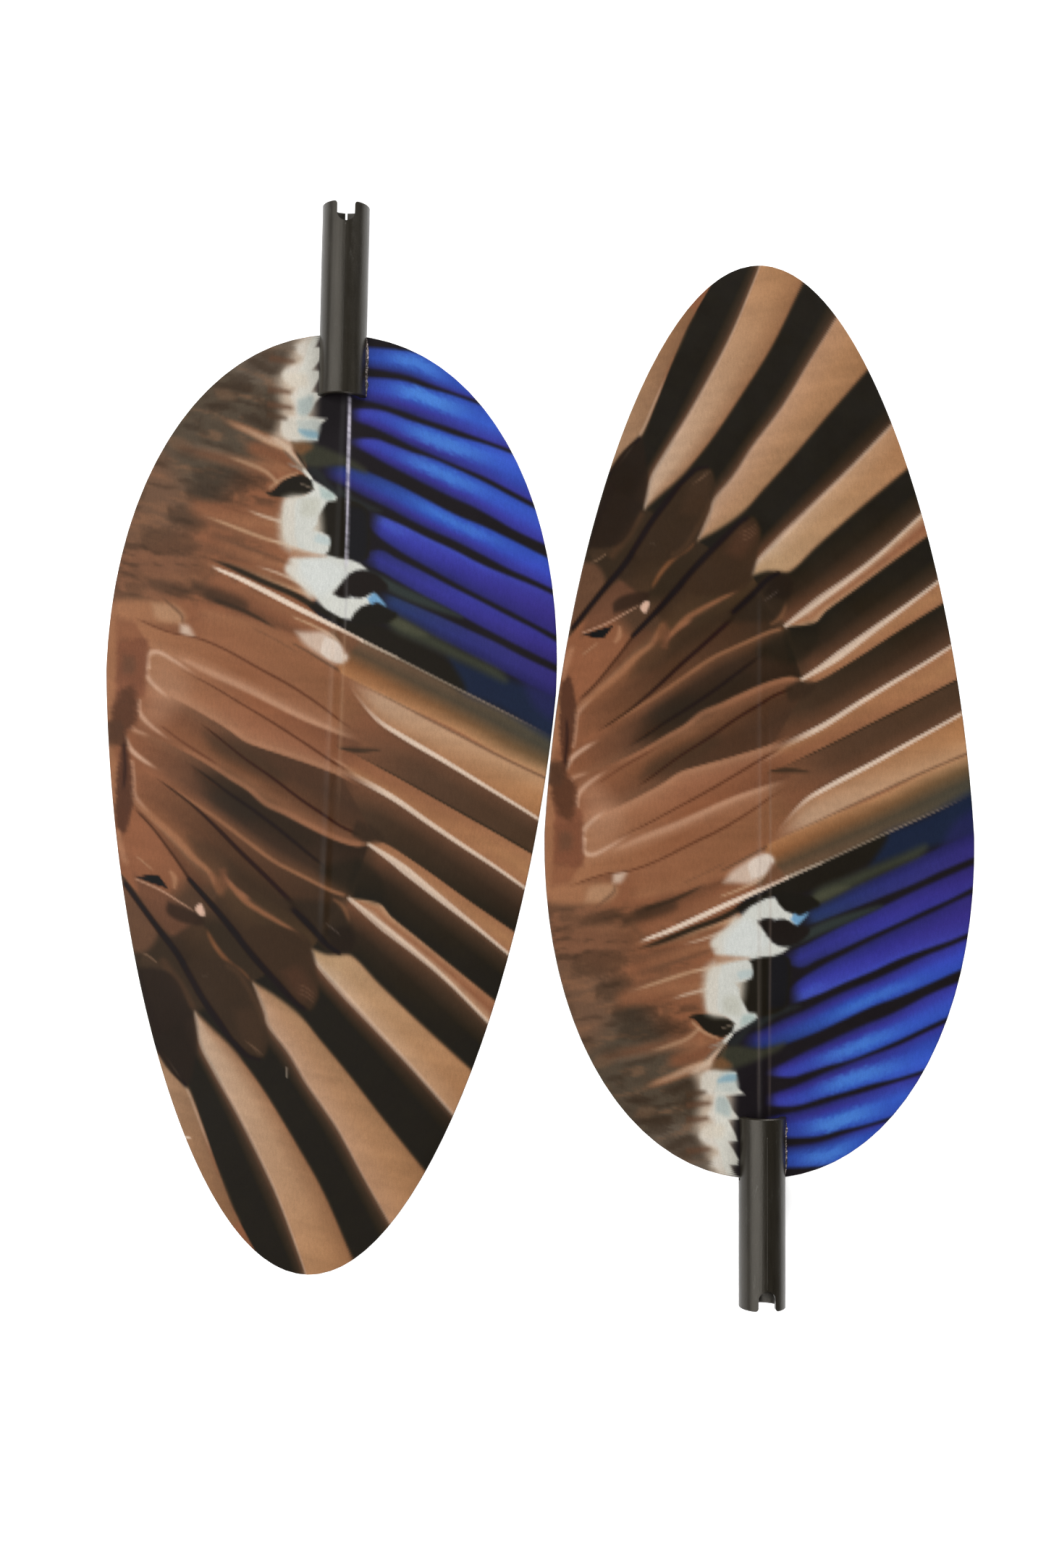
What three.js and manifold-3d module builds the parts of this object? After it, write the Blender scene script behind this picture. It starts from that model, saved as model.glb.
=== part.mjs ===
// A pair of push-on wings for a spinning-wing waterfowl decoy, lying printed side up.
// Millimetres, +Z up. The origin is under the middle of the pair, on the surface it lies on.
// Each wing is built in its own frame: X across the blade, +Y out of the socket's mouth,
// the blade's root edge at Y = 0 and its tip at -Y, Z = 0 in the middle of the sheet.
import * as THREE from "three";
import { mergeVertices } from "three/addons/utils/BufferGeometryUtils.js";
import Module from "manifold-3d";

const wasm = await Module();
wasm.setup();

// Blade: an egg-shaped sheet, widest WIDEST_AT below its root edge.
const BLADE_LENGTH = 330;
const BLADE_HALF_WIDTH = 78.6;
const WIDEST_AT = 121.4;
const ROOT_ROUNDNESS = 2.13;
const TIP_NARROWING = 0.138;
const SHEET_THICKNESS = 0.8;

// Rib: a shallow swage along the blade's middle, raised on the printed side.
const RIB_HALF_WIDTH = 2;
const RIB_HEIGHT = 0.4;
const RIB_START = 2;
const RIB_END = 215;
const RIB_RUN_OUT = 14;
const RIB_COLUMNS = [-1, -0.5, 0, 0.5, 1];

// Films: a printed one on top and a pale one underneath, each on its layer of adhesive.
const FILM_THICKNESS = 0.12;
const FILM_ADHESIVE = 0.05;
const FILM_INSET = 0.4;
const FILM_FACE = SHEET_THICKNESS / 2 + FILM_ADHESIVE + FILM_THICKNESS;

// Socket: a moulded tube, blind from both ends, that the blade is glued across.
const SOCKET_RADIUS = 8.25;
const BORE_RADIUS = 6.35;
const MOUTH_AT = 45;
const INNER_END_AT = -22;
const FLARE = 0.3;
const FLARE_LENGTH = 6;
const EDGE_CHAMFER = 0.35;
const WEB_BOTTOM = 1;
const WEB_TOP = 4;
const SOCKET_SIDES = 48;

// Notch for the drive pin in the upper wall, and the moulded slit opposite it.
const NOTCH_WIDTH = 6.1;
const NOTCH_DEPTH = 7.2;
const PRONG_ROUND = 1.4;
const SLIT_WIDTH = 0.7;
const SLIT_LENGTH = 15;

// Slots in both sides of the socket, which the blade and its films slide into.
const SLOT_HALF_HEIGHT = 0.9;
const SLOT_END = 0.6;

// Retaining magnet on the web, at the bottom of the bore.
const MAGNET_RADIUS = 6;
const MAGNET_LENGTH = 5;
const MAGNET_EDGE = 0.4;
const MAGNET_GAP = 0.3;

// Glue beads in the corners between socket and film.
const BEAD_SIZE = 1.1;
const BEAD_GAP = 0.05;
const BEAD_START = -0.9;
const BEAD_END = -21.4;

// Where the two wings lie: the middle of each root edge, and the turn of each blade.
// The socket of the left wing is glued on a little to one side and out of square.
const LEFT_WING = {
  name: "left",
  root: new THREE.Vector2(-62.2, 157.3),
  turn: -0.0415,
  socketShift: -2.1,
  socketTurn: 0.02,
  topBeadSide: 1,
};
const RIGHT_WING = {
  name: "right",
  root: new THREE.Vector2(84.4, -140.3),
  turn: Math.PI - 0.009,
  socketShift: 0,
  socketTurn: 0,
  topBeadSide: -1,
};

const ROWS = 48;
const OVERCUT = 1;

function material(color, roughness, metalness) {
  return new THREE.MeshStandardMaterial({ color, roughness, metalness });
}

// Half the blade's width at a distance s from its root edge.
function halfWidth(s) {
  if (s < WIDEST_AT) {
    const v = (WIDEST_AT - s) / WIDEST_AT;
    const inside = Math.max(0, 1 - v ** ROOT_ROUNDNESS);
    return BLADE_HALF_WIDTH * inside ** (1 / ROOT_ROUNDNESS);
  }
  const u = (s - WIDEST_AT) / (BLADE_LENGTH - WIDEST_AT);
  return BLADE_HALF_WIDTH * Math.sqrt(Math.max(0, 1 - u * u)) * (1 - TIP_NARROWING * u);
}

// Height of the rib at a place on the blade: a cosine bell that runs out at both ends.
function ribHeight(x, s) {
  const across = Math.min(1, Math.abs(x) / RIB_HALF_WIDTH);
  const run = Math.min(s - RIB_START, RIB_END - s) / RIB_RUN_OUT;
  const fade = THREE.MathUtils.smoothstep(run, 0, 1);
  return RIB_HEIGHT * fade * (1 + Math.cos(Math.PI * across)) / 2;
}

// Merges the shared corners of a closed triangle list and drops its empty triangles.
function closedGeometry(positions) {
  const raw = new THREE.BufferGeometry();
  raw.setAttribute("position", new THREE.Float32BufferAttribute(positions, 3));
  const merged = mergeVertices(raw, 1e-4);
  const index = merged.getIndex().array;
  const kept = [];
  for (let i = 0; i < index.length; i += 3) {
    const [a, b, c] = [index[i], index[i + 1], index[i + 2]];
    if (a !== b && b !== c && c !== a) {
      kept.push(a, b, c);
    }
  }
  merged.setIndex(kept);
  return merged;
}

// A layer of the blade, from bottom to top above the sheet's middle, following the rib.
// Its outline is the blade's, drawn in by inset.
function layerGeometry(inset, bottom, top) {
  const lengthScale = (BLADE_LENGTH - 2 * inset) / BLADE_LENGTH;
  const widthScale = (BLADE_HALF_WIDTH - inset) / BLADE_HALF_WIDTH;
  const rows = [];
  for (let i = 0; i <= ROWS; i += 1) {
    const even = BLADE_LENGTH * (1 - Math.cos((Math.PI * i) / ROWS)) / 2;
    const s = inset + even * lengthScale;
    const w = i % ROWS === 0 ? 0 : halfWidth(even) * widthScale;
    const ribReach = Math.min(RIB_HALF_WIDTH, w / 2);
    const across = [-w, ...RIB_COLUMNS.map((c) => c * ribReach), w];
    rows.push(across.map((x) => ({ x, y: -s, rib: ribHeight(x, s) })));
  }
  const positions = [];
  const corner = (p, z) => positions.push(p.x, p.y, z + p.rib);
  const quad = (a, b, c, d) => {
    [a, b, c, a, c, d].forEach(([p, z]) => corner(p, z));
  };
  for (let i = 0; i < ROWS; i += 1) {
    const [near, far] = [rows[i], rows[i + 1]];
    const last = near.length - 1;
    for (let j = 0; j < last; j += 1) {
      quad([near[j], top], [far[j], top], [far[j + 1], top], [near[j + 1], top]);
      quad([near[j], bottom], [near[j + 1], bottom], [far[j + 1], bottom], [far[j], bottom]);
    }
    quad([near[0], top], [near[0], bottom], [far[0], bottom], [far[0], top]);
    quad([near[last], bottom], [near[last], top], [far[last], top], [far[last], bottom]);
  }
  return closedGeometry(positions);
}

function toManifold(geometry) {
  const bare = geometry.clone();
  bare.deleteAttribute("normal");
  bare.deleteAttribute("uv");
  const merged = mergeVertices(bare, 1e-4);
  const mesh = new wasm.Mesh({
    numProp: 3,
    vertProperties: new Float32Array(merged.getAttribute("position").array),
    triVerts: new Uint32Array(merged.getIndex().array),
  });
  return new wasm.Manifold(mesh);
}

function fromManifold(solid) {
  const mesh = solid.getMesh();
  const geometry = new THREE.BufferGeometry();
  geometry.setAttribute("position", new THREE.BufferAttribute(mesh.vertProperties, 3));
  geometry.setIndex(new THREE.BufferAttribute(mesh.triVerts, 1));
  return geometry;
}

function lathe(points, sides) {
  return new THREE.LatheGeometry(points.map(([x, y]) => new THREE.Vector2(x, y)), sides);
}

function boxBetween(low, high) {
  const size = high.map((value, i) => value - low[i]);
  const middle = high.map((value, i) => (value + low[i]) / 2);
  return new THREE.BoxGeometry(...size).translate(...middle);
}

// The notch's outline: a slot with a round root, flaring into two rounded prongs.
function notchGeometry() {
  const half = NOTCH_WIDTH / 2;
  const root = MOUTH_AT - NOTCH_DEPTH + half;
  const shoulder = MOUTH_AT - PRONG_ROUND;
  const top = MOUTH_AT + OVERCUT;
  const outline = new THREE.Shape();
  outline.moveTo(half + PRONG_ROUND, top);
  outline.lineTo(-half - PRONG_ROUND, top);
  outline.lineTo(-half - PRONG_ROUND, MOUTH_AT);
  outline.absarc(-half - PRONG_ROUND, shoulder, PRONG_ROUND, Math.PI / 2, 0, true);
  outline.absarc(0, root, half, Math.PI, 2 * Math.PI, false);
  outline.absarc(half + PRONG_ROUND, shoulder, PRONG_ROUND, Math.PI, Math.PI / 2, true);
  const depth = SOCKET_RADIUS + OVERCUT;
  return new THREE.ExtrudeGeometry(outline, { depth, bevelEnabled: false, curveSegments: 10 });
}

function socketGeometry() {
  const flared = SOCKET_RADIUS + FLARE;
  const tube = lathe(
    [
      [0, WEB_BOTTOM],
      [BORE_RADIUS, WEB_BOTTOM],
      [BORE_RADIUS, INNER_END_AT],
      [flared - EDGE_CHAMFER, INNER_END_AT],
      [flared, INNER_END_AT + EDGE_CHAMFER],
      [SOCKET_RADIUS, INNER_END_AT + FLARE_LENGTH],
      [SOCKET_RADIUS, MOUTH_AT - EDGE_CHAMFER],
      [SOCKET_RADIUS - EDGE_CHAMFER, MOUTH_AT],
      [BORE_RADIUS + EDGE_CHAMFER, MOUTH_AT],
      [BORE_RADIUS, MOUTH_AT - EDGE_CHAMFER],
      [BORE_RADIUS, WEB_TOP],
      [0, WEB_TOP],
    ],
    SOCKET_SIDES,
  );
  const reach = flared + OVERCUT;
  const slots = boxBetween(
    [-reach, INNER_END_AT - OVERCUT, -SLOT_HALF_HEIGHT],
    [reach, SLOT_END, SLOT_HALF_HEIGHT],
  );
  const slit = boxBetween(
    [-SLIT_WIDTH / 2, MOUTH_AT - SLIT_LENGTH, -reach],
    [SLIT_WIDTH / 2, MOUTH_AT + OVERCUT, 0],
  );
  let solid = toManifold(tube);
  for (const cut of [slots, slit, notchGeometry()]) {
    solid = solid.subtract(toManifold(cut));
  }
  return fromManifold(solid);
}

function magnetGeometry() {
  const bottom = WEB_TOP + MAGNET_GAP;
  const top = bottom + MAGNET_LENGTH;
  return lathe(
    [
      [0, bottom],
      [MAGNET_RADIUS - MAGNET_EDGE, bottom],
      [MAGNET_RADIUS, bottom + MAGNET_EDGE],
      [MAGNET_RADIUS, top - MAGNET_EDGE],
      [MAGNET_RADIUS - MAGNET_EDGE, top],
      [0, top],
    ],
    SOCKET_SIDES,
  );
}

// A fillet of glue along one side of the socket: side is +1 or -1 across the blade,
// face is +1 on the printed side and -1 underneath.
function beadGeometry(side, face) {
  const low = FILM_FACE + BEAD_GAP;
  const wall = SOCKET_RADIUS + FLARE + BEAD_GAP;
  const outline = new THREE.Shape();
  outline.moveTo(side * wall, face * low);
  outline.lineTo(side * (wall + BEAD_SIZE), face * low);
  outline.quadraticCurveTo(side * wall, face * low, side * wall, face * (low + BEAD_SIZE));
  outline.closePath();
  const options = { depth: BEAD_START - BEAD_END, bevelEnabled: false, curveSegments: 5 };
  const bead = new THREE.ExtrudeGeometry(outline, options);
  return bead.rotateX(Math.PI / 2).translate(0, BEAD_START, 0);
}

function named(name, geometry, look) {
  const mesh = new THREE.Mesh(geometry, look);
  mesh.name = name;
  return mesh;
}

// The wing lies on the lower edge of its socket's inner end and on the tip of its blade.
const DROP = SOCKET_RADIUS + FLARE - FILM_FACE;
const REST_TILT = Math.atan2(DROP, BLADE_LENGTH - FILM_INSET + INNER_END_AT);

function wing({ name, root, turn, socketShift, socketTurn, topBeadSide }) {
  const sheetFace = SHEET_THICKNESS / 2;
  const filmBack = sheetFace + FILM_ADHESIVE;
  const blade = layerGeometry(0, -sheetFace, sheetFace);
  const print = layerGeometry(FILM_INSET, filmBack, FILM_FACE);
  const lining = layerGeometry(FILM_INSET, -FILM_FACE, -filmBack);
  const glue = material(0xd9d4c6, 0.3, 0);

  const socket = new THREE.Group();
  socket.position.x = socketShift;
  socket.rotation.z = socketTurn;
  socket.add(
    named(`${name}_socket`, socketGeometry(), material(0x2b2a27, 0.45, 0)),
    named(`${name}_magnet`, magnetGeometry(), material(0xb9bcc0, 0.25, 1)),
    named(`${name}_glue_bead_top`, beadGeometry(topBeadSide, 1), glue),
    named(`${name}_glue_bead_bottom`, beadGeometry(-topBeadSide, -1), glue),
  );

  const tilted = new THREE.Group();
  tilted.rotation.x = REST_TILT;
  tilted.add(
    named(`${name}_blade`, blade, material(0xdcdcd8, 0.4, 0.6)),
    named(`${name}_feather_print`, print, material(0x73492f, 0.35, 0)),
    named(`${name}_underside_film`, lining, material(0xe8e6de, 0.4, 0)),
    socket,
  );

  const placed = new THREE.Group();
  placed.position.set(root.x, root.y, 0);
  placed.rotation.z = turn;
  placed.add(tilted);
  return placed;
}

// Moves a model so that the middle of its box's underside is at the origin.
function standOnOrigin(model) {
  model.updateMatrixWorld(true);
  const box = new THREE.Box3().setFromObject(model, true);
  const middle = box.getCenter(new THREE.Vector3());
  model.position.set(-middle.x, -middle.y, -box.min.z);
  return model;
}

const pair = new THREE.Group();
pair.add(wing(LEFT_WING), wing(RIGHT_WING));

export default standOnOrigin(pair);
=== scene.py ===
"""The looks of a pair of push-on wings for a spinning-wing decoy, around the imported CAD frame."""

import math

import bmesh
import bpy
import numpy as np
from mathutils import Matrix, Vector


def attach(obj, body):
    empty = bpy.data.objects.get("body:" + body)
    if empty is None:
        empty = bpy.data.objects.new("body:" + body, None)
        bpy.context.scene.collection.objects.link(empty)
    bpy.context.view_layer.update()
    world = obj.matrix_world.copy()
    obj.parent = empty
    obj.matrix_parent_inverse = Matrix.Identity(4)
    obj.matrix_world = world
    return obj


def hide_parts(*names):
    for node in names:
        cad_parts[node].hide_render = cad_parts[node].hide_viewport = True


MM = 0.001

# The wing, in millimetres: x across the blade, s down it from its root.
BLADE_LENGTH = 330.0
BLADE_HALF_WIDTH = 78.6
WIDEST_AT = 121.4
ROOT_ROUNDNESS = 2.13
TIP_NARROWING = 0.138
FILM_INSET = 0.12
FILM_FACE = 0.57
FILM_THICKNESS = 0.12
FILM_LENGTH = BLADE_LENGTH - 2 * FILM_INSET
RIB_HALF_WIDTH = 2.0
RIB_HEIGHT = 0.4
RIB_START = 2.0
RIB_END = 215.0
RIB_RUN_OUT = 14.0

# Where each wing's blade starts, in the row frame, and how it is turned.
LEFT_ROOT = (-71.346, 148.736, 9.118)
RIGHT_ROOT = (75.254, -148.864, 9.118)
LEFT_TURN = -0.0415
RIGHT_TURN = math.pi - 0.009
REST_TILT = 0.02594

# The left socket is glued on a little askew; the right one is in line with its blade.
LEFT_SOCKET = (-73.444, 148.823, 9.118)
LEFT_SOCKET_TURN = -0.0215
SOCKET_RADIUS = 8.25
MOUTH = 45.0
INNER_END = -22.0
NOTCH_DEPTH = 7.2
BEAD_START = -0.9
BEAD_END = -21.4
BEAD_SIZE = 0.75
BEAD_GAP = 0.02
BEAD_ROOT = 0.25
FLARE = 0.3
EDGE_ROUND = 0.16 * MM

# The printed film's mesh: the size of its cells, and how many there are across each face.
CELL = 0.76
COLUMNS = 204
LOWER_COLUMNS = np.array([-1.0, -0.5, 0.0, 0.5, 1.0])

# The camera.
CAMERA_AT = (-69.95, -24.36, 616.6)
CAMERA_TIP = -0.0255
CAMERA_ROLL = 0.0983
FOCAL_PIXELS = 2393.4
PHOTO_HEIGHT = 2167
SENSOR = 36.0

# The inks are set a little darker than they look, because the strong lights that burn the floor
# out to white also put a sheen over the film: its haze is taken off before they are dimmed.
INK_HAZE = 0.011
INK_STRENGTH = 0.74
DARKEST_INK = 0.004

# The studio: each light's name, place and size in metres, and its watts.
LIGHTS = (
    ("overhead left softbox", (-0.95, 0.0, 1.15), (1.5, 1.7), 32),
    ("upper fill", (0.8, 1.6, 0.7), (1.2, 0.6), 42),
    ("lower fill", (0.7, -1.6, 0.7), (1.2, 0.6), 13),
)
WORLD_STRENGTH = 0.05
FLOOR_SIZE = 5.0
FLOOR_GLOW = 0.6


def smooth(low, high, value):
    """A smooth step from 0 at low to 1 at high."""
    t = np.clip((value - low) / (high - low), 0, 1)
    return t * t * (3 - 2 * t)


def lattice(ix, iy, seed):
    """A repeatable random number from 0 to 1 for each whole-numbered place."""
    n = (ix * 374761393 + iy * 668265263 + seed * 1274126177) & 0xFFFFFFFF
    n = ((n ^ (n >> 13)) * 1274126177) & 0xFFFFFFFF
    return ((n ^ (n >> 16)) & 0xFFFF) / 65535.0


def noise(x, y, seed=0, octaves=3):
    """Soft noise from -1 to 1, with features about one unit across."""
    total, size = np.zeros(np.shape(x)), 0.0
    for k in range(octaves):
        fx, fy = x * 2**k, y * 2**k
        ix, iy = np.floor(fx).astype(np.int64), np.floor(fy).astype(np.int64)
        u, v = fx - ix, fy - iy
        u, v = u * u * (3 - 2 * u), v * v * (3 - 2 * v)
        a, b = lattice(ix, iy, seed + k), lattice(ix + 1, iy, seed + k)
        c, d = lattice(ix, iy + 1, seed + k), lattice(ix + 1, iy + 1, seed + k)
        total += 0.5**k * ((a + (b - a) * u) * (1 - v) + (c + (d - c) * u) * v)
        size += 0.5**k
    return 2 * total / size - 1


def curve(points, steps=7):
    """A smooth line through the points."""
    p = np.array(points, float)
    if len(p) < 3:
        return p
    p = np.vstack([2 * p[0] - p[1], p, 2 * p[-1] - p[-2]])
    t = np.linspace(0, 1, steps, endpoint=False)[:, None]
    out = []
    for a, b, c, d in zip(p, p[1:], p[2:], p[3:]):
        out.append(
            0.5 * (2 * b + (c - a) * t + (2 * a - 5 * b + 4 * c - d) * t**2
                   + (3 * b - a - 3 * c + d) * t**3)
        )
    return np.vstack(out + [p[-2][None]])


def nearest(line, x, y):
    """Distance to a line, and how far along it from 0 to 1 the nearest place is."""
    best = np.full(len(x), 1e9)
    along = np.zeros(len(x))
    lengths = np.hypot(*np.diff(line, axis=0).T)
    starts = np.concatenate([[0], np.cumsum(lengths)])
    for (ax, ay), (bx, by), start, length in zip(line, line[1:], starts, lengths):
        if length < 1e-9:
            continue
        t = np.clip(((x - ax) * (bx - ax) + (y - ay) * (by - ay)) / length**2, 0, 1)
        d = np.hypot(x - ax - t * (bx - ax), y - ay - t * (by - ay))
        closer = d < best
        best[closer] = d[closer]
        along[closer] = ((start + t * length) / starts[-1])[closer]
    return best, along


def inside(shape, x, y):
    """Which places lie inside a closed shape."""
    found = np.zeros(len(x), bool)
    for (ax, ay), (bx, by) in zip(shape, np.roll(shape, -1, axis=0)):
        if ay == by:
            continue
        crosses = (ay > y) != (by > y)
        found ^= crosses & (x < (bx - ax) * (y - ay) / (by - ay) + ax)
    return found


def across_stops(across, table):
    """Colours picked from evenly spaced stops."""
    stops = np.linspace(0, 1, len(table))
    return np.stack([np.interp(across, stops, table[:, k]) for k in range(3)], 1)


def vane_colour(across, along, start, end, middle):
    """A vane's inks: picked across it from each list, then blended along it."""
    first = across_stops(across, np.array(start, float))
    last = first if end is None else across_stops(across, np.array(end, float))
    if middle is None:
        return first * (1 - along) + last * along
    central = across_stops(across, np.array(middle, float))
    share = 1 - np.abs(2 * along - 1)
    return np.where(along < 0.5, first, last) * (1 - share) + central * share


def depth(shape, x, y):
    """How far inside a closed shape each place is, in millimetres: below zero outside it."""
    d, _ = nearest(np.vstack([shape, shape[:1]]), x, y)
    return np.where(inside(shape, x, y), d, -d)


def faded(mask, along, fade):
    """The mask, weakened over a share of the line's length at its start and at its end."""
    if fade[0]:
        mask = mask * smooth(0, fade[0], along)
    if fade[1]:
        mask = mask * smooth(0, fade[1], 1 - along)
    return mask


class Print:
    """Colours of a feather print at many places: x across the wing, y down from its root.

    Every ink goes over what is already there. "soft" is the width of its soft edge, "amount"
    how strongly it covers, and "fade" the shares of a line's length over which it fades.
    """

    def __init__(self, x, y, ground):
        self.x, self.y = x, y
        self.colour = np.tile(np.array(ground, float), (len(x), 1))

    def near(self, points, reach):
        """Which of the places are close enough to the points to be inked."""
        low, high = points.min(0) - reach, points.max(0) + reach
        return np.flatnonzero(
            (self.x > low[0]) & (self.x < high[0]) & (self.y > low[1]) & (self.y < high[1])
        )

    def lay(self, where, amount, colour):
        amount = amount[:, None]
        self.colour[where] = self.colour[where] * (1 - amount) + np.asarray(colour) * amount

    def lay_all(self, amount, colour):
        self.lay(np.arange(len(self.x)), amount, colour)

    def patch(self, points, colour, soft=1.0, amount=1.0, ragged=0.0, sharp=False):
        """A filled shape with a soft edge, which may be ragged, and may keep its corners sharp."""
        shape = np.array(points, float) if sharp else curve(list(points) + [points[0]])[:-1]
        where = self.near(shape, soft + ragged)
        if not len(where):
            return
        x, y = self.x[where], self.y[where]
        d = depth(shape, x, y)
        if ragged:
            d = d + ragged * noise(x / 1.6, y / 1.1, 5)
        self.lay(where, amount * smooth(-soft / 2, soft / 2, d), colour)

    def stroke(self, points, widths, colour, soft=0.6, amount=1.0, fade=(0, 0)):
        """A tapered line: widths are its whole width at places spread evenly along it."""
        line = curve(points)
        where = self.near(line, max(widths) / 2 + soft)
        if not len(where):
            return
        d, along = nearest(line, self.x[where], self.y[where])
        half = np.interp(along, np.linspace(0, 1, len(widths)), widths) / 2
        mask = 1 - smooth(half - soft / 2, half + soft / 2, d)
        self.lay(where, amount * faded(mask, along, fade), colour)

    def vane(self, upper, lower, start, end=None, soft=0.7, amount=1.0, fade=(0, 0), middle=None):
        """The space between two lines, with inks across it at its start, middle and end."""
        a, b = curve(upper), curve(lower)
        shape = np.vstack([a, b[::-1]])
        where = self.near(shape, soft)
        if not len(where):
            return
        x, y = self.x[where], self.y[where]
        da, along = nearest(a, x, y)
        db, _ = nearest(b, x, y)
        colour = vane_colour(da / (da + db + 1e-9), along[:, None], start, end, middle)
        length = np.hypot(*np.diff(a, axis=0).T).sum()
        barbs = noise((along * length + 0.7 * (da + db)) / 1.7, da / 4 + 7, 31, 2)
        colour = colour * (1 + 0.02 * barbs[:, None])
        mask = smooth(-soft / 2, soft / 2, depth(shape, x, y))
        self.lay(where, amount * faded(mask, along, fade), colour)

    def patches(self, rows):
        for row in rows:
            self.patch(*row)

    def strokes(self, rows):
        for row in rows:
            self.stroke(*row)

    def vanes(self, rows):
        for row in rows:
            self.vane(*row)


# The print's inks, as screen colours from 0 to 255.
SOOT = (40, 37, 31)
UMBER = (58, 46, 37)
BARK = (76, 58, 45)
COCOA = (97, 70, 54)
CHESTNUT = (118, 78, 57)
RUSSET = (137, 90, 65)
FAWN = (155, 108, 78)
TAN = (166, 120, 84)
BUFF = (186, 150, 118)
SAND = (200, 174, 150)
CREAM = (222, 200, 180)
CHALK = (212, 209, 198)
MIST = (208, 211, 207)
ASH = (84, 73, 61)
STONE = (106, 94, 82)

# Inks of the inner wing's feathers, of the dark coverts, and of the blue bands.
WARM = (140, 91, 65)
DUSK = (118, 77, 56)
SHADE = (68, 53, 41)
DARK = (50, 42, 34)
PALE_TAN = (166, 120, 92)
DEEP = (54, 45, 36)
BROWN = (64, 51, 39)
REDDISH = (108, 73, 55)
BLUE = (54, 76, 167)
LILAC = (60, 58, 142)
NIGHT = (47, 46, 92)

# The tables below hold rows of arguments for Print.patches, Print.strokes and Print.vanes, unless
# they say otherwise. Places are in millimetres across the wing and down it from its root.


def moved(line, across, down):
    """The line, moved by that much."""
    return [(x + across, y + down) for x, y in line]


COVERT_GROUND = (
    ([(-90, -8), (-10, -8), (-16, 10), (-20, 34), (-28, 42), (-44, 62), (-60, 74), (-90, 74)], ASH, 10),
    ([(-34, 2), (-12, -4), (-14, 6), (-18, 16), (-28, 20), (-40, 16)], STONE, 7, .8),
    ([(-90, 60), (-60, 70), (-44, 84), (-60, 97), (-90, 95)], BARK, 8, .4),
    ([(-90, 44), (-62, 46), (-50, 70), (-58, 96), (-90, 100)], (132, 92, 70), 12, .55),
)

# Dark centres of the larger mottled feathers: their shapes and how strongly each one shows.
COVERT_CENTRES = (
    ([(-48, 27), (-42, 26.6), (-41, 28.5), (-46, 29.6), (-49, 28.4)], .95),
    ([(-43, 20), (-37, 19.6), (-33, 21), (-38, 23.4), (-43, 21.6)], .6),
    ([(-52, 32.6), (-50, 32.6), (-49.6, 35.6), (-51.6, 35.6)], .6),
    ([(-30, 25), (-22, 24.6), (-18.5, 27), (-22, 28.8), (-30, 28.2)], .75),
    ([(-36, 30.6), (-28, 30), (-22, 31), (-22, 35), (-28, 35.6), (-34, 33.6)], .7),
    ([(-27, 20.6), (-21, 20), (-19, 22), (-22, 23), (-27, 22.6)], .6),
    ([(-52, 50), (-40, 48), (-32, 50), (-26, 53), (-30, 56), (-42, 57), (-50, 55)], .6),
    ([(-54, 57), (-46, 56), (-38, 58), (-40, 61), (-50, 62), (-54, 60)], .75),
    ([(-60, 64), (-52, 64), (-46, 69), (-50, 73), (-58, 70)], .5),
    ([(-68, 72), (-56, 72), (-48, 77), (-56, 81), (-68, 79)], .55),
    ([(-34, 8), (-22, 6), (-17, 9), (-20, 14), (-30, 16), (-36, 14)], .45),
)

# Light feathers among them, given in the same way.
COVERT_LIGHTS = (
    ([(-46, 22), (-41, 22), (-38, 25), (-44, 25.4)], .4),
    ([(-62, 40), (-56.6, 39.6), (-52, 43), (-58.6, 44)], .45),
)

# Warm feathers under the mottled ones.
WARM_COVERTS = (
    ([(-44, 31), (-34, 34), (-26, 37), (-18, 39)], [(-44, 33), (-34, 37), (-26, 40.6), (-18, 43)],
     [RUSSET, FAWN, RUSSET], [FAWN, SAND, BUFF], 2, .9, (.3, 0)),
    ([(-60, 40), (-44, 43), (-30, 46), (-20, 49)], [(-58, 46), (-44, 48), (-32, 50), (-24, 53)],
     [STONE, COCOA, ASH], [FAWN, RUSSET, RUSSET], 3, .8, (.3, 0)),
    ([(-36, 38), (-28, 40), (-21, 42.6), (-17, 46)], [(-38, 42), (-30, 45), (-23, 47.4), (-18, 49.6)],
     [COCOA, RUSSET, COCOA], [RUSSET, CHESTNUT, FAWN], 2, .9, (.3, 0)),
)


def mottle(p):
    """Flecks and blotches that fade out towards the white bar and down the wing."""
    x, y = p.x, p.y
    grain = noise(x / 9, (y - .2 * x) / 2.2, 21)
    blotch = noise(x / 7 + 3, (y - .1 * x) / 6, 22)
    reach = smooth(-12, -30, x) * smooth(100, 60, y + .35 * x)
    p.lay_all(reach * smooth(.05, .5, grain) * .45, UMBER)
    p.lay_all(reach * smooth(.1, .6, -grain) * .35, FAWN)
    p.lay_all(reach * smooth(.1, .6, blotch) * .4, BARK)


def coverts(p):
    """Mottled grey-brown small feathers at the wing's leading edge."""
    p.patches(COVERT_GROUND)
    mottle(p)
    for shape, amount in COVERT_CENTRES:
        p.patch(shape, UMBER, 3.4, amount * .75, 1.2)
    for shape, amount in COVERT_LIGHTS:
        p.patch(shape, FAWN, 2.4, amount * .6)
    p.vanes(WARM_COVERTS)
    p.stroke([(-42, 45), (-34, 47), (-27, 49.6), (-23, 53)], [.6, 1.6, 1.2], BUFF, 1.2, .6, (.3, 0))


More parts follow.
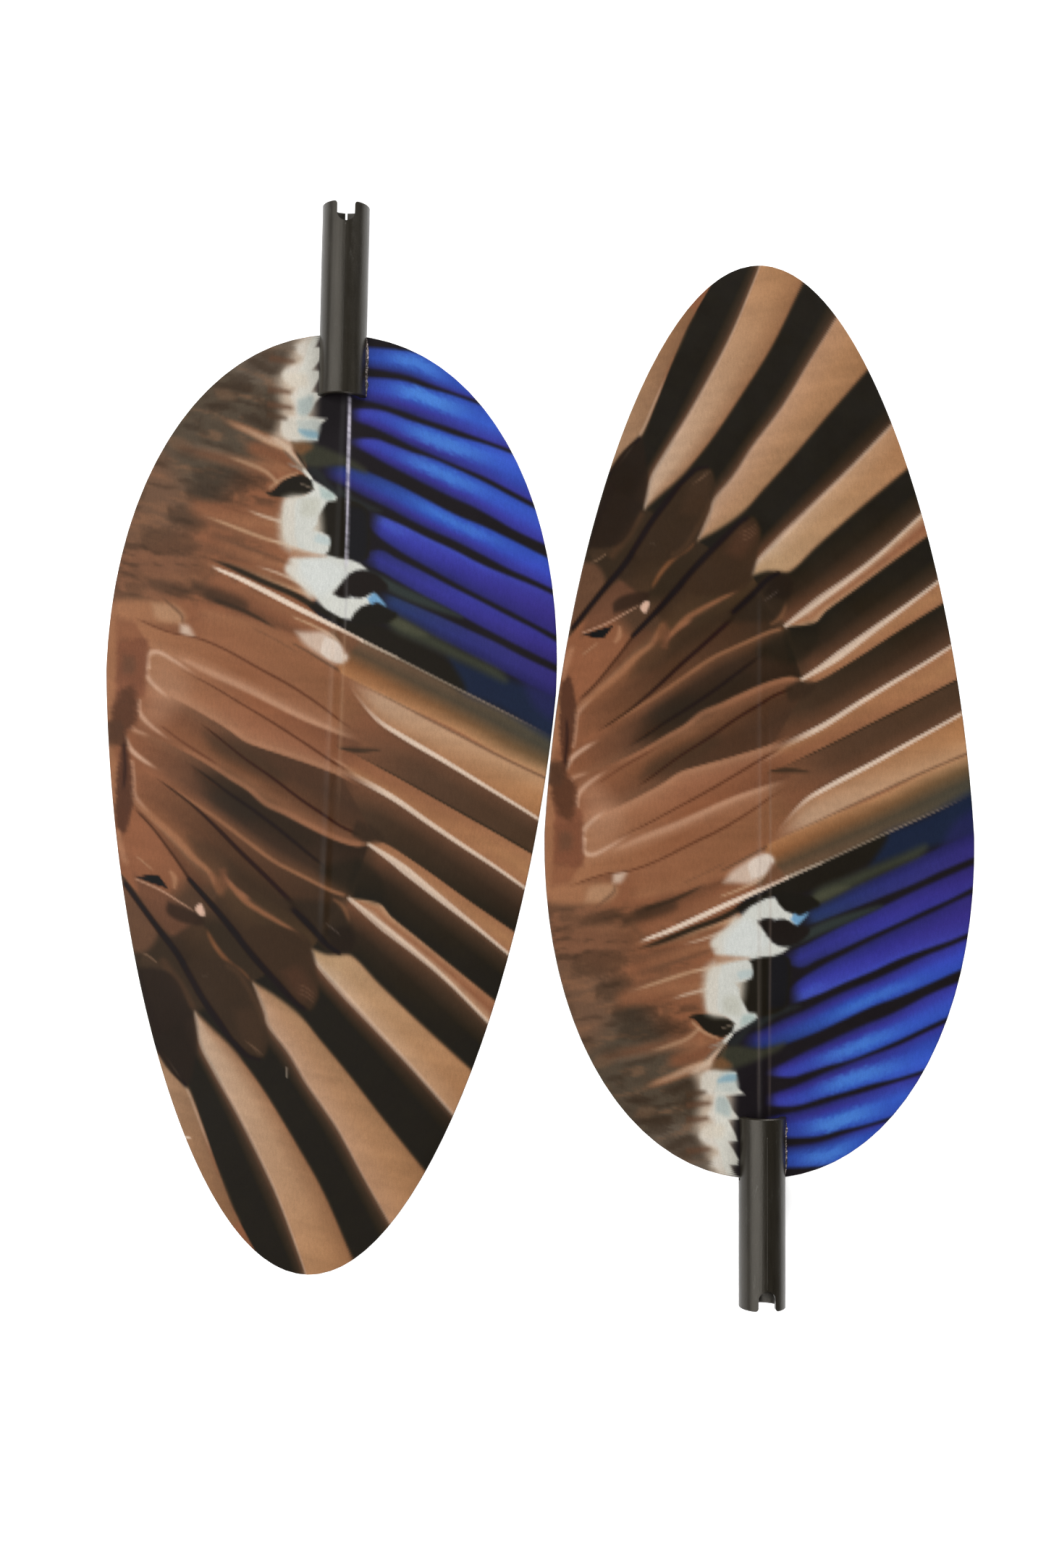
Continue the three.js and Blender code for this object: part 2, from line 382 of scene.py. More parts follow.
LONG_COVERTS = (
    ([(-56, 60), (-44, 61.6), (-32, 62), (-18, 61)], [(-54, 66), (-44, 70), (-32, 74), (-14, 78)],
     [CHESTNUT, RUSSET, COCOA], [RUSSET, FAWN, RUSSET], 3, .9, (.2, 0)),
    ([(-48, 70), (-36, 74), (-24, 77.6), (-14, 79)], [(-52, 78), (-38, 80.6), (-26, 84), (-16, 85)],
     [COCOA, CHESTNUT, COCOA], [RUSSET, FAWN, RUSSET], 3, .9, (.2, 0)),
    ([(-44, 80), (-30, 82), (-20, 84), (-12, 88)], [(-42, 81), (-30, 86), (-20, 89.6), (-9, 92.6)],
     [CHESTNUT, CHESTNUT, BARK], [RUSSET, FAWN, BUFF], 1.5, .9, (.2, 0)),
)

LONG_COVERT_LINES = (
    ([(-50, 65.6), (-42, 68), (-34, 70.6), (-24, 73.6), (-15, 75)], [.6, 1.3, .9], BUFF, 1, .75, (.3, .1)),
    ([(-34, 63), (-28, 65), (-20, 67), (-14, 68)], [.5, 1.2, 1.2], SAND, 1, .8, (.3, .1)),
    ([(-30, 82.6), (-22, 84.6), (-14, 87.6), (-9, 89.6)], [.5, 1, 1.2], SAND, .9, .7, (.3, .1)),
    ([(-46, 62), (-38, 63.4), (-28, 66)], [.5, 1, .8], CHESTNUT, 1.2, .6, (.3, .3)),
    ([(-44, 73), (-34, 76), (-24, 79), (-16, 82)], [.5, 1.2, 1], COCOA, 1.4, .6, (.3, .2)),
)

# Plain warm ground left of the long pale shaft.
PLAIN_GROUND = (
    ([(-76, 97), (-64, 96.6), (-55, 98), (-52, 103), (-60, 105), (-76, 103)], FAWN, 4, .9),
    ([(-64, 97.6), (-57, 98), (-53, 101), (-54, 104), (-62, 103)], BUFF, 3, .5),
)

SHADED_VANES = (
    ([(-46, 86), (-34, 90), (-20, 96), (-5, 103)], [(-46, 95), (-34, 99), (-20, 104), (-8, 108)],
     [RUSSET, CHESTNUT, UMBER], [FAWN, RUSSET, CHESTNUT], 2.5, .85, (.1, .1)),
)

PLAIN_SHADE = (
    ([(-50, 89.6), (-40, 92), (-32, 95), (-32, 98), (-42, 96), (-50, 92.6)], UMBER, 3.4, .6),
    ([(-66, 89), (-56, 90), (-50, 93), (-54, 94.6), (-64, 92.6)], UMBER, 3, .5, .5),
)

PLAIN_LINES = (
    ([(-44, 95), (-34, 98), (-26, 101.6), (-18, 106)], [1.6, 1.4, .6], UMBER, 1, .8, (.1, .3)),
    ([(-60, 96), (-54, 101), (-53, 104)], [.6, 1.2, .6], COCOA, 1, .6),
)


def long_coverts(p):
    """Warm brown feathers that run down and across towards the white bar."""
    p.vanes(LONG_COVERTS)
    p.strokes(LONG_COVERT_LINES)
    p.patches(PLAIN_GROUND)
    p.vanes(SHADED_VANES)
    p.patches(PLAIN_SHADE)
    p.strokes(PLAIN_LINES)
    p.patch([(-54, 104.6), (-51, 105), (-48.6, 109), (-51, 110), (-53.6, 108)], CREAM, 2.6, .75)


# Dark shafts of the inner wing's flight feathers, from the top one down.
FAN_SHAFTS = (
    [(-71, 102.6), (-58, 107.4), (-48, 109), (-38, 112.6), (-26, 118.6), (-15, 124), (-5, 130), (3, 135.6),
     (10, 140)],
    [(-56, 119), (-43, 125), (-32, 131), (-22, 136.4), (-10, 143.4), (0, 149.5), (10, 155), (18, 159)],
    [(-47, 137.6), (-40, 142.6), (-30, 150), (-20, 156.4), (-10, 163.4), (0, 169.6), (5, 172.6),
     (12, 175.4)],
    [(-52, 151), (-44, 156), (-36, 161.6), (-26, 168), (-16, 175), (-6, 182.6), (2, 188.6)],
    [(-62, 157), (-52, 163.6), (-46, 168), (-38, 175), (-30, 182.6), (-20, 191.6), (-10, 201), (-2, 209)],
    [(-67, 169), (-60, 176), (-52, 186), (-46, 194), (-38, 203), (-28, 215), (-18, 226)],
)

# Lower edges of the same feathers, each lying over the next one.
FAN_EDGES = (
    [(-64, 113), (-50, 118.6), (-42, 122), (-30, 126.8), (-20, 131.4), (-10, 135.8), (0, 139.4),
     (12, 143.4)],
    [(-65, 124), (-62, 127), (-52, 131.8), (-44, 135.8), (-36, 140.2), (-30, 144.2), (-24, 146.2),
     (-15, 148.8), (-5, 151.8), (3, 154.6), (10, 158), (18, 160.4)],
    [(-69, 141), (-62, 143.6), (-55, 146.6), (-44, 152), (-34, 158), (-28, 161.4), (-22, 166.2),
     (-15, 169.2), (-8, 172.6), (2, 177), (10, 179.2), (15, 178.6)],
    [(-70, 150), (-64, 155.6), (-56, 161.4), (-46, 167.4), (-38, 172.4), (-28, 179.4), (-18, 186.2),
     (-8, 191), (2, 195.6), (8, 197.4)],
    [(-69, 160), (-66.6, 167), (-60, 173), (-52, 180), (-46, 186.2), (-40, 191.4), (-37.6, 197)],
)

FAN_GROUND = (
    ([(-56, 168), (-30, 160), (0, 166), (22, 174), (30, 190), (20, 210), (-10, 222), (-40, 214),
     (-60, 196)], BARK, 14, .9),
    ([(-72, 150), (-60, 156), (-48, 172), (-46, 190), (-56, 200), (-70, 194)], WARM, 8, .9),
)

# The lowest ones first: each feather lies over the one under it.
FAN_FEATHERS = (
    (FAN_EDGES[4], FAN_SHAFTS[5][:5], [BUFF, WARM, WARM], [(96, 66, 48), (90, 62, 46), (80, 56, 44)], 2,
     .95, (.02, .1)),
    (FAN_EDGES[3], FAN_EDGES[4] + [(-30, 206), (-16, 224)], [WARM, WARM, WARM],
     [SHADE, SHADE, (84, 62, 46)], 1.6, 1, (.02, .05), [(84, 60, 44), (80, 57, 43), (128, 86, 60)]),
    (FAN_EDGES[3], FAN_SHAFTS[4], [WARM, WARM], [(62, 48, 38), (54, 42, 34)], 1.2, .8, (.3, .05)),
    (FAN_EDGES[2], FAN_EDGES[3], [(150, 102, 74), WARM, WARM, WARM],
     [(50, 40, 33), (60, 47, 38), (60, 47, 38), (92, 66, 48)], 1, 1, (.01, .02),
     [(62, 48, 39), (58, 45, 37), (66, 50, 40), (128, 86, 62)]),
    (FAN_EDGES[1], FAN_EDGES[2], [(156, 108, 80), WARM, WARM, DUSK],
     [(86, 60, 46), (72, 54, 43), (74, 54, 42), (132, 88, 64)], 1, 1, (.01, .02),
     [(78, 57, 44), (82, 58, 44), (108, 73, 52), (150, 104, 76)]),
    (FAN_EDGES[0], FAN_EDGES[1], [(164, 120, 92), FAWN, FAWN, (170, 126, 98)],
     [(112, 74, 56), DUSK, (138, 92, 68), (150, 108, 82)], 1, 1, (.01, .04),
     [(136, 86, 60), (140, 92, 66), (146, 98, 72), (158, 112, 84)]),
    (FAN_SHAFTS[0], FAN_EDGES[0], [FAWN, FAWN, FAWN], [(140, 96, 70), (150, 106, 80), (160, 118, 92)], 1.4,
     1, (.05, .08), [(142, 93, 66), (140, 92, 65), (176, 130, 102)]),
    ([(-50, 98), (-30, 102), (-12, 108), (4, 118), (18, 130)], FAN_SHAFTS[0],
     [FAWN, (148, 99, 71), (150, 101, 73)], [RUSSET, (128, 88, 62), (134, 92, 66)], 3, .85, (.1, .1)),
)

# Shade in the hearts of the feathers, and the darkest tips. The last one is the fan's pale start.
FAN_SHADES = (
    ([(-44, 142), (-34, 144), (-26, 148), (-16, 155), (-18, 158), (-30, 153), (-40, 148)], SHADE, 5, .6),
    ([(-46, 156), (-36, 156), (-24, 163), (-14, 170), (-4, 178), (-10, 180), (-26, 172), (-40, 164)], DARK,
     7, .6),
    ([(-42, 163), (-34, 162), (-24, 169), (-28, 172), (-38, 168)], (50, 44, 38), 6, .5),
    ([(8, 184), (18, 184), (22, 196), (14, 198), (4, 194), (-2, 188)], SOOT, 5, .6),
    ([(-34, 186), (-16, 196), (0, 210), (-4, 218), (-18, 210), (-32, 198)], DARK, 6, .45),
    ([(-48, 178), (-38, 182), (-30, 190), (-36, 192), (-44, 186)], SHADE, 4, .5),
    ([(-64, 116), (-56, 119), (-50, 126), (-54, 134), (-60, 140), (-66, 138), (-64, 128)], (176, 132, 104),
     9, .45),
)

FAN_PALE_EDGES = (
    ([(-56, 115.6)] + moved(FAN_EDGES[0][1:], 0, -.8), [1, 2.2, 2.2, 1.8, 1.4, .8], (182, 138, 110), 1.8,
     .7, (.08, .15)),
    (moved(FAN_EDGES[1], 0, -1), [.8, 1, 1.4, 1.6, 1.4, 1], PALE_TAN, 1.6, .6, (.1, .05)),
    (moved(FAN_EDGES[2][2:], 0, -.8), [.6, 1.4, 2, 2, 1.6], (156, 108, 80), 1.4, .6, (.1, .03)),
    (moved(FAN_EDGES[3][2:], 0, -.6), [.8, 1.2, 1.4, 1.2, 1.2], (146, 102, 74), 1.2, .8, (.1, .03)),
    (moved(FAN_EDGES[4][1:], 0, -.8), [1.6, 2, 2.4, 1.8, 1.2], (158, 110, 80), 1.6, .75, (.1, .1)),
    ([(-36, 190), (-32, 195), (-26, 199.6), (-19, 204), (-12, 208)], [.8, 2, 2, 1], (146, 98, 72), 1.4, .85,
     (.1, .3)),
    ([(-36, 188), (-34, 195), (-29, 200)], [2.6, 2.2, .8], CHESTNUT, 1.8, .6, (.1, .3)),
    ([(-2, 147.6), (6, 151.6), (16, 157.4)], [.6, 1, 1], (186, 142, 114), 1, .6, (.3, .05)),
    ([(-8, 107), (4, 114), (14, 121), (22, 127)], [.5, 1.6, 2.4], FAWN, 2, .5, (.2, .3)),
)

# The pale, stepped starts of the feathers, which fade to the right: line, widths and strength.
FAN_STARTS = (
    ([(-64, 121), (-64.4, 116), (-61, 114.6), (-55, 117.6), (-46, 123)], [1.4, 1.6, 1.2, .8, .4], .75),
    ([(-64.6, 118), (-64.4, 123), (-61, 127), (-55, 131.6)], [1.2, 1.4, 1.2, .4], .7),
    ([(-67, 131), (-66.4, 136), (-62, 140.6), (-54, 146)], [1.4, 1.6, 1, .4], .65),
    ([(-71, 144.4), (-68.6, 149), (-64, 152.6), (-58, 156)], [.8, 1.6, 1.2, .4], .85),
    ([(-69.6, 141), (-67, 142.4), (-62, 144)], [1.4, 1.2, .6], .4),
    ([(-68.4, 152), (-67.6, 158), (-66.6, 165), (-60, 172)], [1, 1.4, 1.4, .8], .45),
)

# Dark lines along the shafts and edges: line, widths, ink, strength and fades.
FAN_DARK_LINES = (
    (FAN_SHAFTS[0], [.4, .5, .7, .9, .8, .5], (92, 56, 40), .85, (.08, .12)),
    (FAN_SHAFTS[1], [.3, .5, .8, .9, .8], (84, 50, 36), .85, (.2, .1)),
    (FAN_SHAFTS[2], [.4, .7, .9, 1, .9], (52, 32, 24), .9, (.12, .02)),
    (FAN_SHAFTS[3], [.5, 1, 1.3, 1.3, .9], (38, 31, 27), .75, (.2, .12)),
    (FAN_SHAFTS[4], [.4, .8, 1.4, 1.6, 1.6, 1.2], (42, 30, 24), .85, (.12, .05)),
    (FAN_SHAFTS[5], [.6, .8, 1.2, 1.5, 1.5], (58, 38, 29), .8, (.05, .1)),
    ([(-71, 192), (-66, 198), (-60, 206)], [1, 1.4, 1.4], SOOT, .8, (.05, .1)),
    ([(-60, 139.4), (-52, 145), (-44, 149.8), (-36, 154.4)], [.4, .9, .8], (98, 60, 43), .8, (.1, .3)),
    ([(-50, 153), (-44, 157), (-36, 162)], [.3, .5, .4], (80, 52, 38), .5, (.2, .3)),
    ([(-16, 108.6), (-8, 112.6), (0, 117), (4, 119)], [.4, .9, .9], COCOA, .85, (.1, .1)),
    ([(-30, 104), (-20, 108.6), (-12, 113)], [.3, .5, .4], COCOA, .5, (.2, .2)),
    ([(-58, 163), (-46, 173), (-36, 184)], [.3, .5, .4], (100, 66, 48), .4, (.2, .3)),
    ([(8, 160), (13, 166), (19, 173)], [.3, .6, .5], (50, 38, 32), .5, (.2, .2)),
)

FAN_NOTCHES = (
    ([(2, 144.8), (8, 144.6), (18, 144.8), (12, 146.2), (6, 146)], SOOT, .8, .9),
    ([(10, 172), (16, 173.6), (20, 177), (15, 177.8), (9, 175.6)], UMBER, 2, .6),
)


def secondaries(p):
    """Brown flight feathers of the inner wing, fanning down and right, with pale edges."""
    p.patches(FAN_GROUND)
    p.vanes(FAN_FEATHERS)
    p.patches(FAN_SHADES)
    p.strokes(FAN_PALE_EDGES)
    for line, widths, amount in FAN_STARTS:
        p.stroke(line, widths, (206, 168, 142), 1.4, amount, (.03, .4))
    for line, widths, colour, amount, fade in FAN_DARK_LINES:
        p.stroke(line, widths, colour, .9, amount, fade)
    p.patches(FAN_NOTCHES)


LEADING_EDGE = (
    ([(-80, 100), (-76.6, 100), (-74.6, 130), (-75.4, 146), (-72, 160), (-73, 172), (-84, 172)], FAWN, 2.4,
     .8),
    ([(-75, 112), (-66, 110), (-64.4, 116), (-65, 124), (-65, 129), (-67.6, 132), (-67.4, 138), (-71, 143),
     (-75, 144), (-75, 130)], (122, 78, 58), 2.4, .9, .8),
    ([(-73, 128), (-69, 127), (-67.6, 133), (-67.6, 139), (-71, 143), (-76, 146), (-76, 136)], (84, 56, 42),
     3, .85, 1),
    ([(-78, 140), (-73, 139), (-71, 143), (-70.4, 147), (-77, 147)], (82, 58, 45), 2, .8, .6),
    ([(-71.6, 143), (-69.6, 150), (-68, 160), (-67.6, 170), (-70, 178), (-73, 174), (-73.4, 160),
     (-72.4, 150)], (82, 54, 42), 1.8, .9, .7),
    ([(-73, 116), (-69, 117), (-69, 122), (-73, 122)], COCOA, 3, .6),
)

LEADING_EDGE_LINES = (
    ([(-71.4, 146), (-70.6, 156), (-71, 164)], [.8, 1.2, 1], (48, 34, 32), 1, .7, (.1, .2)),
    ([(-72.6, 176), (-70.6, 184), (-68, 190)], [1.6, 2.4, 1.4], (176, 128, 98), 2, .6, (.1, .2)),
)


def leading_edge(p):
    """The ragged dark strip and the pale strip along the left edge."""
    p.patches(LEADING_EDGE)
    p.strokes(LEADING_EDGE_LINES)


# The dark lower sides of the two largest coverts.
THIRD_SHAFT, SECOND_SHAFT = (
    [(-70, 194), (-64, 201.6), (-57, 210.4), (-50, 219), (-45, 227), (-40, 235), (-34, 243), (-29, 249.6),
     (-24, 254)],
    [(-48, 192), (-40, 200.4), (-34, 207), (-24, 218.6), (-16, 227), (-8, 235), (-3.6, 237.4)],
)

LOWER_GROUND = (
    ([(-90, 200), (-66, 200), (-50, 206), (-34, 206), (-14, 212), (0, 214), (8, 224), (-2, 240), (-24, 248),
     (-30, 262), (-44, 268), (-60, 262), (-90, 270)], DEEP, 8, .95),
    ([(-76, 190), (-70, 194), (-63, 203), (-57, 211), (-60, 218), (-66, 219), (-73, 218), (-80, 204)],
     (104, 74, 56), 3, .9),
    ([(-66, 192), (-58, 196), (-50, 202), (-44, 206), (-42, 212), (-50, 214), (-57, 209), (-63, 201)],
     REDDISH, 3, .85),
)

# Each covert's dark vane and brown upper edge, then the darkest covert, along the outline.
LOWER_COVERTS = (
    ([(-44, 206), (-38, 214), (-32, 221.6), (-24, 228), (-19, 239), (-17, 248), (-18, 254)],
     THIRD_SHAFT[2:], [(78, 59, 44), (68, 52, 40), (58, 46, 37)],
     [(62, 50, 40), (64, 50, 39), (54, 44, 35)], 1.6, .95, (.04, 0),
     [(55, 45, 36), (54, 44, 35), (46, 38, 31)]),
    ([(-34, 194), (-27, 200.6), (-18, 206), (-8, 211), (-3, 216), (-1.6, 224), (-.8, 231), (-3, 237)],
     SECOND_SHAFT[1:], [(88, 66, 48), (74, 56, 42), (62, 48, 38)],
     [(68, 53, 41), (72, 53, 41), (66, 49, 39)], 1.4, .95, (.05, 0),
     [(60, 48, 37), (63, 49, 38), (58, 45, 36)]),
    ([(-26, 195), (-16, 201), (-6, 207), (2, 212), (6, 216)],
     [(-34, 194), (-27, 200), (-18, 205), (-8, 210), (-3, 215)], [(66, 52, 40), BROWN],
     [(64, 50, 37), (86, 65, 46)], 1.4, .8, (.1, .1)),
    ([(-62, 219), (-54, 224), (-47, 233), (-42.4, 240), (-41.6, 250), (-44, 264)],
     [(-66, 222), (-62, 236), (-58, 246), (-53, 254), (-46, 264)], [(78, 60, 46), DEEP],
     [(48, 41, 35), (42, 36, 31)], 1.8, .9, (.03, 0), [(50, 42, 35), (43, 37, 31)]),
)

LOWER_COVERT_LINES = (
    ([(-56, 220), (-49, 230), (-43, 239)], [2, 3.4, 2], (82, 60, 45), 3, .8, (.1, .1)),
    ([(-66, 219), (-60, 234), (-55, 246), (-49, 256), (-45, 264)], [1, 2, 2, 1.6], (36, 30, 26), 1.6, .7,
     (.1, 0)),
    (THIRD_SHAFT, [1.2, 1.6, 1.8, 2, 2, 1.4], (36, 28, 23), 1.2, .9, (.03, .06)),
    (SECOND_SHAFT, [1.2, 1.8, 2.2, 2.4, 2.2, 1.4], (36, 28, 23), 1.2, .9, (.03, .02)),
    ([(-41, 209), (-37, 216), (-32, 221.6), (-27, 225), (-24, 228.4)], [.6, 1.4, 1.6, 1.4, .8],
     (128, 84, 56), 1.4, .8, (.15, .1)),
    ([(-34, 193), (-28, 199.4), (-20, 204.4), (-10, 209.8), (-4, 214.4)], [1.2, 2, 1.6, 1.2, .8],
     (142, 96, 68), 1.4, .85, (.05, .15)),
    ([(-74.6, 203), (-73, 210), (-71, 217)], [1.2, 1.6, 1], (164, 118, 88), 1.6, .7, (.1, .3)),
    ([(-63, 219), (-60, 220), (-56.6, 222.6)], [.3, .5, .3], (140, 110, 86), .8, .8, (.2, .1)),
    ([(-66, 193.4), (-57, 197), (-50, 201), (-44, 204.6)], [.5, .7, .6, .4], (190, 148, 122), .7, .8,
     (.05, .1)),
    ([(-54, 190), (-52, 193), (-52, 197)], [.8, 2, .7], (164, 118, 88), 1.2, .9, (.1, .05)),
    ([(-65, 186), (-60, 190)], [.5, .5], BUFF, .8, .5, (0, 0)),
    ([(-41, 226.8), (-39.6, 226.8), (-39, 226)], [.5, .5, .3], CREAM, .4, 1, (0, 0)),
    ([(-40, 190), (-36, 196), (-34, 200)], [1.6, 1.4, .6], CHESTNUT, 1.4, .5, (.1, .3)),
)

LOWER_COVERT_MARKS = (
    ([(-54, 201), (-48, 203), (-42, 206), (-42, 209), (-49, 208), (-54, 205)], (52, 40, 33), 2, .85),
    ([(-65, 193), (-60, 191.8), (-57.4, 192.2), (-54, 196.6), (-60, 194.8)], (24, 20, 18), .6, 1, 0, True),
    ([(-44, 202), (-42.4, 201.4), (-41, 205), (-42.6, 205.6), (-44.4, 203.6)], (216, 178, 156), 1, .95),
)


def lower_coverts(p):
    """Dark rounded coverts of the outer wing, with the small light and dark marks on them."""
    p.patches(LOWER_GROUND)
    p.vanes(LOWER_COVERTS)
    p.strokes(LOWER_COVERT_LINES)
    p.patches(LOWER_COVERT_MARKS)


# The long outer flight feathers, from the innermost one: each one's upper edge and shaft, the
# inks between them at the start and the end, where the pale shaft line starts, its widths, and
# how strongly the dark edge line and the pale shaft line show.
OUTER_FEATHERS = (
    dict(top=[(2, 118.6), (10, 122.6), (22, 128), (36, 134.6), (46, 139.2), (60, 145.6), (79, 153.6)],
     shaft=[(3, 119.6), (9, 127.4), (16, 134.6), (25, 140), (40, 147.9), (55, 156.2), (68, 163.4),
     (76, 168)], start=[(184, 152, 126), (180, 148, 122), (160, 118, 88)],
     end=[(186, 144, 108), (168, 120, 82), (160, 112, 76)], shaft_from=.34,
     widths=[.4, 1.4, 1.8, 1.5, 1.2, 1], line=.3, bright=.9),
    dict(top=[(2, 144.8), (8, 146.8), (20, 152.4), (30, 157.4), (45, 165), (60, 172.6), (74, 180)],
     shaft=[(2, 151.6), (8, 154.4), (22, 161.4), (35, 169.6), (48, 177.6), (60, 184.8), (72, 192.6)],
     start=[RUSSET, RUSSET, TAN], end=[FAWN, TAN, FAWN], shaft_from=.26, widths=[2.4, 1.9, 1.5, 1],
     line=.85, bright=.85),
    dict(top=[(17, 176.6), (24, 179.6), (36, 186.8), (50, 196), (69, 208)],
     shaft=[(14, 178), (25, 184.9), (40, 196), (55, 207), (68, 217)], start=[FAWN, FAWN, BUFF],
     end=[FAWN, TAN, FAWN], shaft_from=.01, widths=[1, 3, 2.2, 1.4, 1], line=.85, bright=.8),
    dict(top=[(10, 197.6), (19, 198.8), (24, 203.6), (34, 211), (46, 220), (62, 232)],
     shaft=[(8, 197.2), (20, 206.6), (32, 215.4), (44, 225), (60, 240)], start=[BUFF, FAWN, SAND],
     end=[FAWN, RUSSET, BUFF], shaft_from=.01, widths=[1.4, 2.6, 1.8, 1.3, 1.2], line=.7, bright=.65),
    dict(top=[(-3.6, 215.8), (2, 217.6), (10, 217.6), (20, 227), (30, 236), (38, 243), (54, 256.6),
     (60, 262)], shaft=[(-3.8, 216), (-1.6, 221), (8, 231), (20, 243), (34, 257), (50, 274)],
     start=[(176, 144, 110), (180, 148, 114), (198, 168, 140)], end=[TAN, TAN, (178, 136, 102)],
     shaft_from=.01, widths=[1.2, 2.2, 1.6, 1.4, 1.2], line=.2, bright=.4),
    dict(top=[(-23.6, 228), (-15, 233), (-7, 239), (0, 247), (11, 259.4), (24, 275), (42, 296)],
     shaft=[(-23.6, 228), (-19, 238), (-17.4, 243), (-10, 252), (-3, 263), (8, 278), (18, 295), (29, 313)],
     start=[(160, 124, 92), (172, 134, 104), (184, 150, 124)],
     end=[(146, 106, 74), (168, 124, 88), (176, 134, 102)], shaft_from=.01, widths=[.8, 1.6, 1.4, 1, .8],
     line=.1, bright=.25),
    dict(top=[(-43, 239), (-38, 243.6), (-30, 251), (-25, 257), (-17.4, 267), (-6.4, 283.8), (4.4, 301.6),
     (16, 326)], shaft=[(-43, 239), (-40.6, 250), (-35, 260), (-28, 271.6), (-20, 286), (-11, 304),
     (-2, 326), (0, 332)], start=[(150, 112, 84), (184, 154, 128), (190, 164, 142)],
     end=[(140, 100, 70), (166, 122, 86), (172, 128, 92)], shaft_from=.01, widths=[.8, 1.6, 1.4, 1, .8],
     line=.1, bright=.3),
)

# The inks across each one's dark vane, from its shaft to the next one's edge: start, then end.
DARK_VANES = (
    ([CHESTNUT, COCOA, COCOA], [COCOA, BARK, BARK]),
    ([CHESTNUT, BARK, BARK], [COCOA, UMBER, SOOT]),
    ([CHESTNUT, UMBER, SOOT], [BARK, SOOT, SOOT]),
    ([CHESTNUT, UMBER, SOOT], [BARK, SOOT, SOOT]),
    ([CHESTNUT, SOOT, SOOT, SOOT], [UMBER, SOOT, SOOT, SOOT]),
    ([COCOA, SOOT, SOOT, SOOT], [BARK, SOOT, SOOT, SOOT]),
    ([COCOA, SOOT, SOOT, SOOT], [BARK, SOOT, SOOT, SOOT]),
)
DARK_FADES = (.5, .16, .12, .04, .04, .04, .04)
TAN_FADES = (.22, .16, 0, 0, 0, 0, 0)
TAN_SOFTNESS = (2.6, 1, 1, 1, 2.4, 2.4, 2.4)
SHADOW_FADES = (.5, .1, .1, .1, .1, .1, .1)
OUTERMOST_EDGE = [(-58, 250), (-48.6, 258), (-43, 268), (-38, 280), (-33, 293), (-28, 305), (-22, 316),
                  (-14, 330)]

# The broad feather under the speculum: grey along its upper edge, tan along its lower one.
BROAD_FEATHER = (
    ([(-4, 101), (8, 106.4), (20, 111.6), (40, 120.6), (60, 129.4), (82, 139.4)], [(2, 118.6), (10, 122.6),
     (22, 128), (36, 133.6), (46, 138), (60, 145), (79, 153)],
     [(124, 88, 66), (90, 71, 54), (140, 92, 60), (166, 114, 76)],
     [(80, 77, 64), (74, 70, 60), (108, 86, 62), (186, 142, 104)], 1, 1, (.06, 0)),
)


def outer_wing(p):
    """Long outer flight feathers: dark below a pale shaft, tan above it."""
    p.vanes(BROAD_FEATHER)
    edges_below = [f["top"] for f in OUTER_FEATHERS[1:]] + [OUTERMOST_EDGE]
    for f, below, (start, end), fade in zip(OUTER_FEATHERS, edges_below, DARK_VANES, DARK_FADES):
        p.vane(f["shaft"], below, start, end, .8, 1, (fade, 0))
    for f, soft, fade in zip(OUTER_FEATHERS, TAN_SOFTNESS, TAN_FADES):
        p.vane(f["top"], f["shaft"], f["start"], f["end"], soft, 1, (fade, 0))
    for f, fade in zip(OUTER_FEATHERS, SHADOW_FADES):
        p.stroke(moved(f["shaft"], -.5, 1.3), [.5, 1.2, 1, .8], COCOA, 1.2, .6, (fade, 0))
        p.stroke(f["shaft"], f["widths"], CREAM, .7, f["bright"], (f["shaft_from"], 0))
        p.stroke(f["top"], [.2, .5, .7, .7], SOOT, .7, f["line"], (.25, 0))


# The pale-edged covert tip along the outline, and the line under it.
LOWEST_TIP = (
    ([(-66, 224), (-52, 226), (-44.6, 238), (-42, 246), (-42, 254), (-44.4, 265.4), (-49, 260), (-55, 252),
     (-64, 246)], (46, 38, 33), 2, .8),
)
LOWEST_TIP_LINES = (
    ([(-57, 250), (-50, 259.6), (-45, 264.6)], [1.2, 1.8, 1], (30, 25, 22), 1.2, .8, (.2, 0)),
)

THIRD_TIP = (
    ([(-44, 220), (-32, 221.4), (-24, 228.6), (-20.4, 238), (-17.4, 247), (-18.6, 254), (-24, 253),
     (-31, 247), (-39, 236), (-47, 225)], (61, 48, 38), 2, .92),
    ([(-30, 238), (-23, 238), (-19, 247), (-20, 253), (-26, 249)], (70, 53, 41), 4, .7),
)
THIRD_TIP_LINES = (
    ([(-34, 222), (-28, 226), (-22, 236), (-18.4, 246)], [1, 1.6, 1, .6], (84, 62, 46), 2, .6, (.05, .2)),
    ([(-30, 248), (-25, 253.4), (-20, 255)], [1.4, 1.6, .8], (38, 30, 25), 1.2, .8, (.2, 0)),
)

SECOND_TIP = (
    ([(-24, 208), (-8, 210), (-3.4, 216), (-1.6, 224), (-.6, 231), (-3, 237), (-9, 234), (-18, 225),
     (-28, 213)], (64, 49, 38), 2, .92),
    ([(-14, 224), (-8, 222), (-3, 228), (-2, 233), (-8, 233)], (80, 56, 43), 5, .8),
)

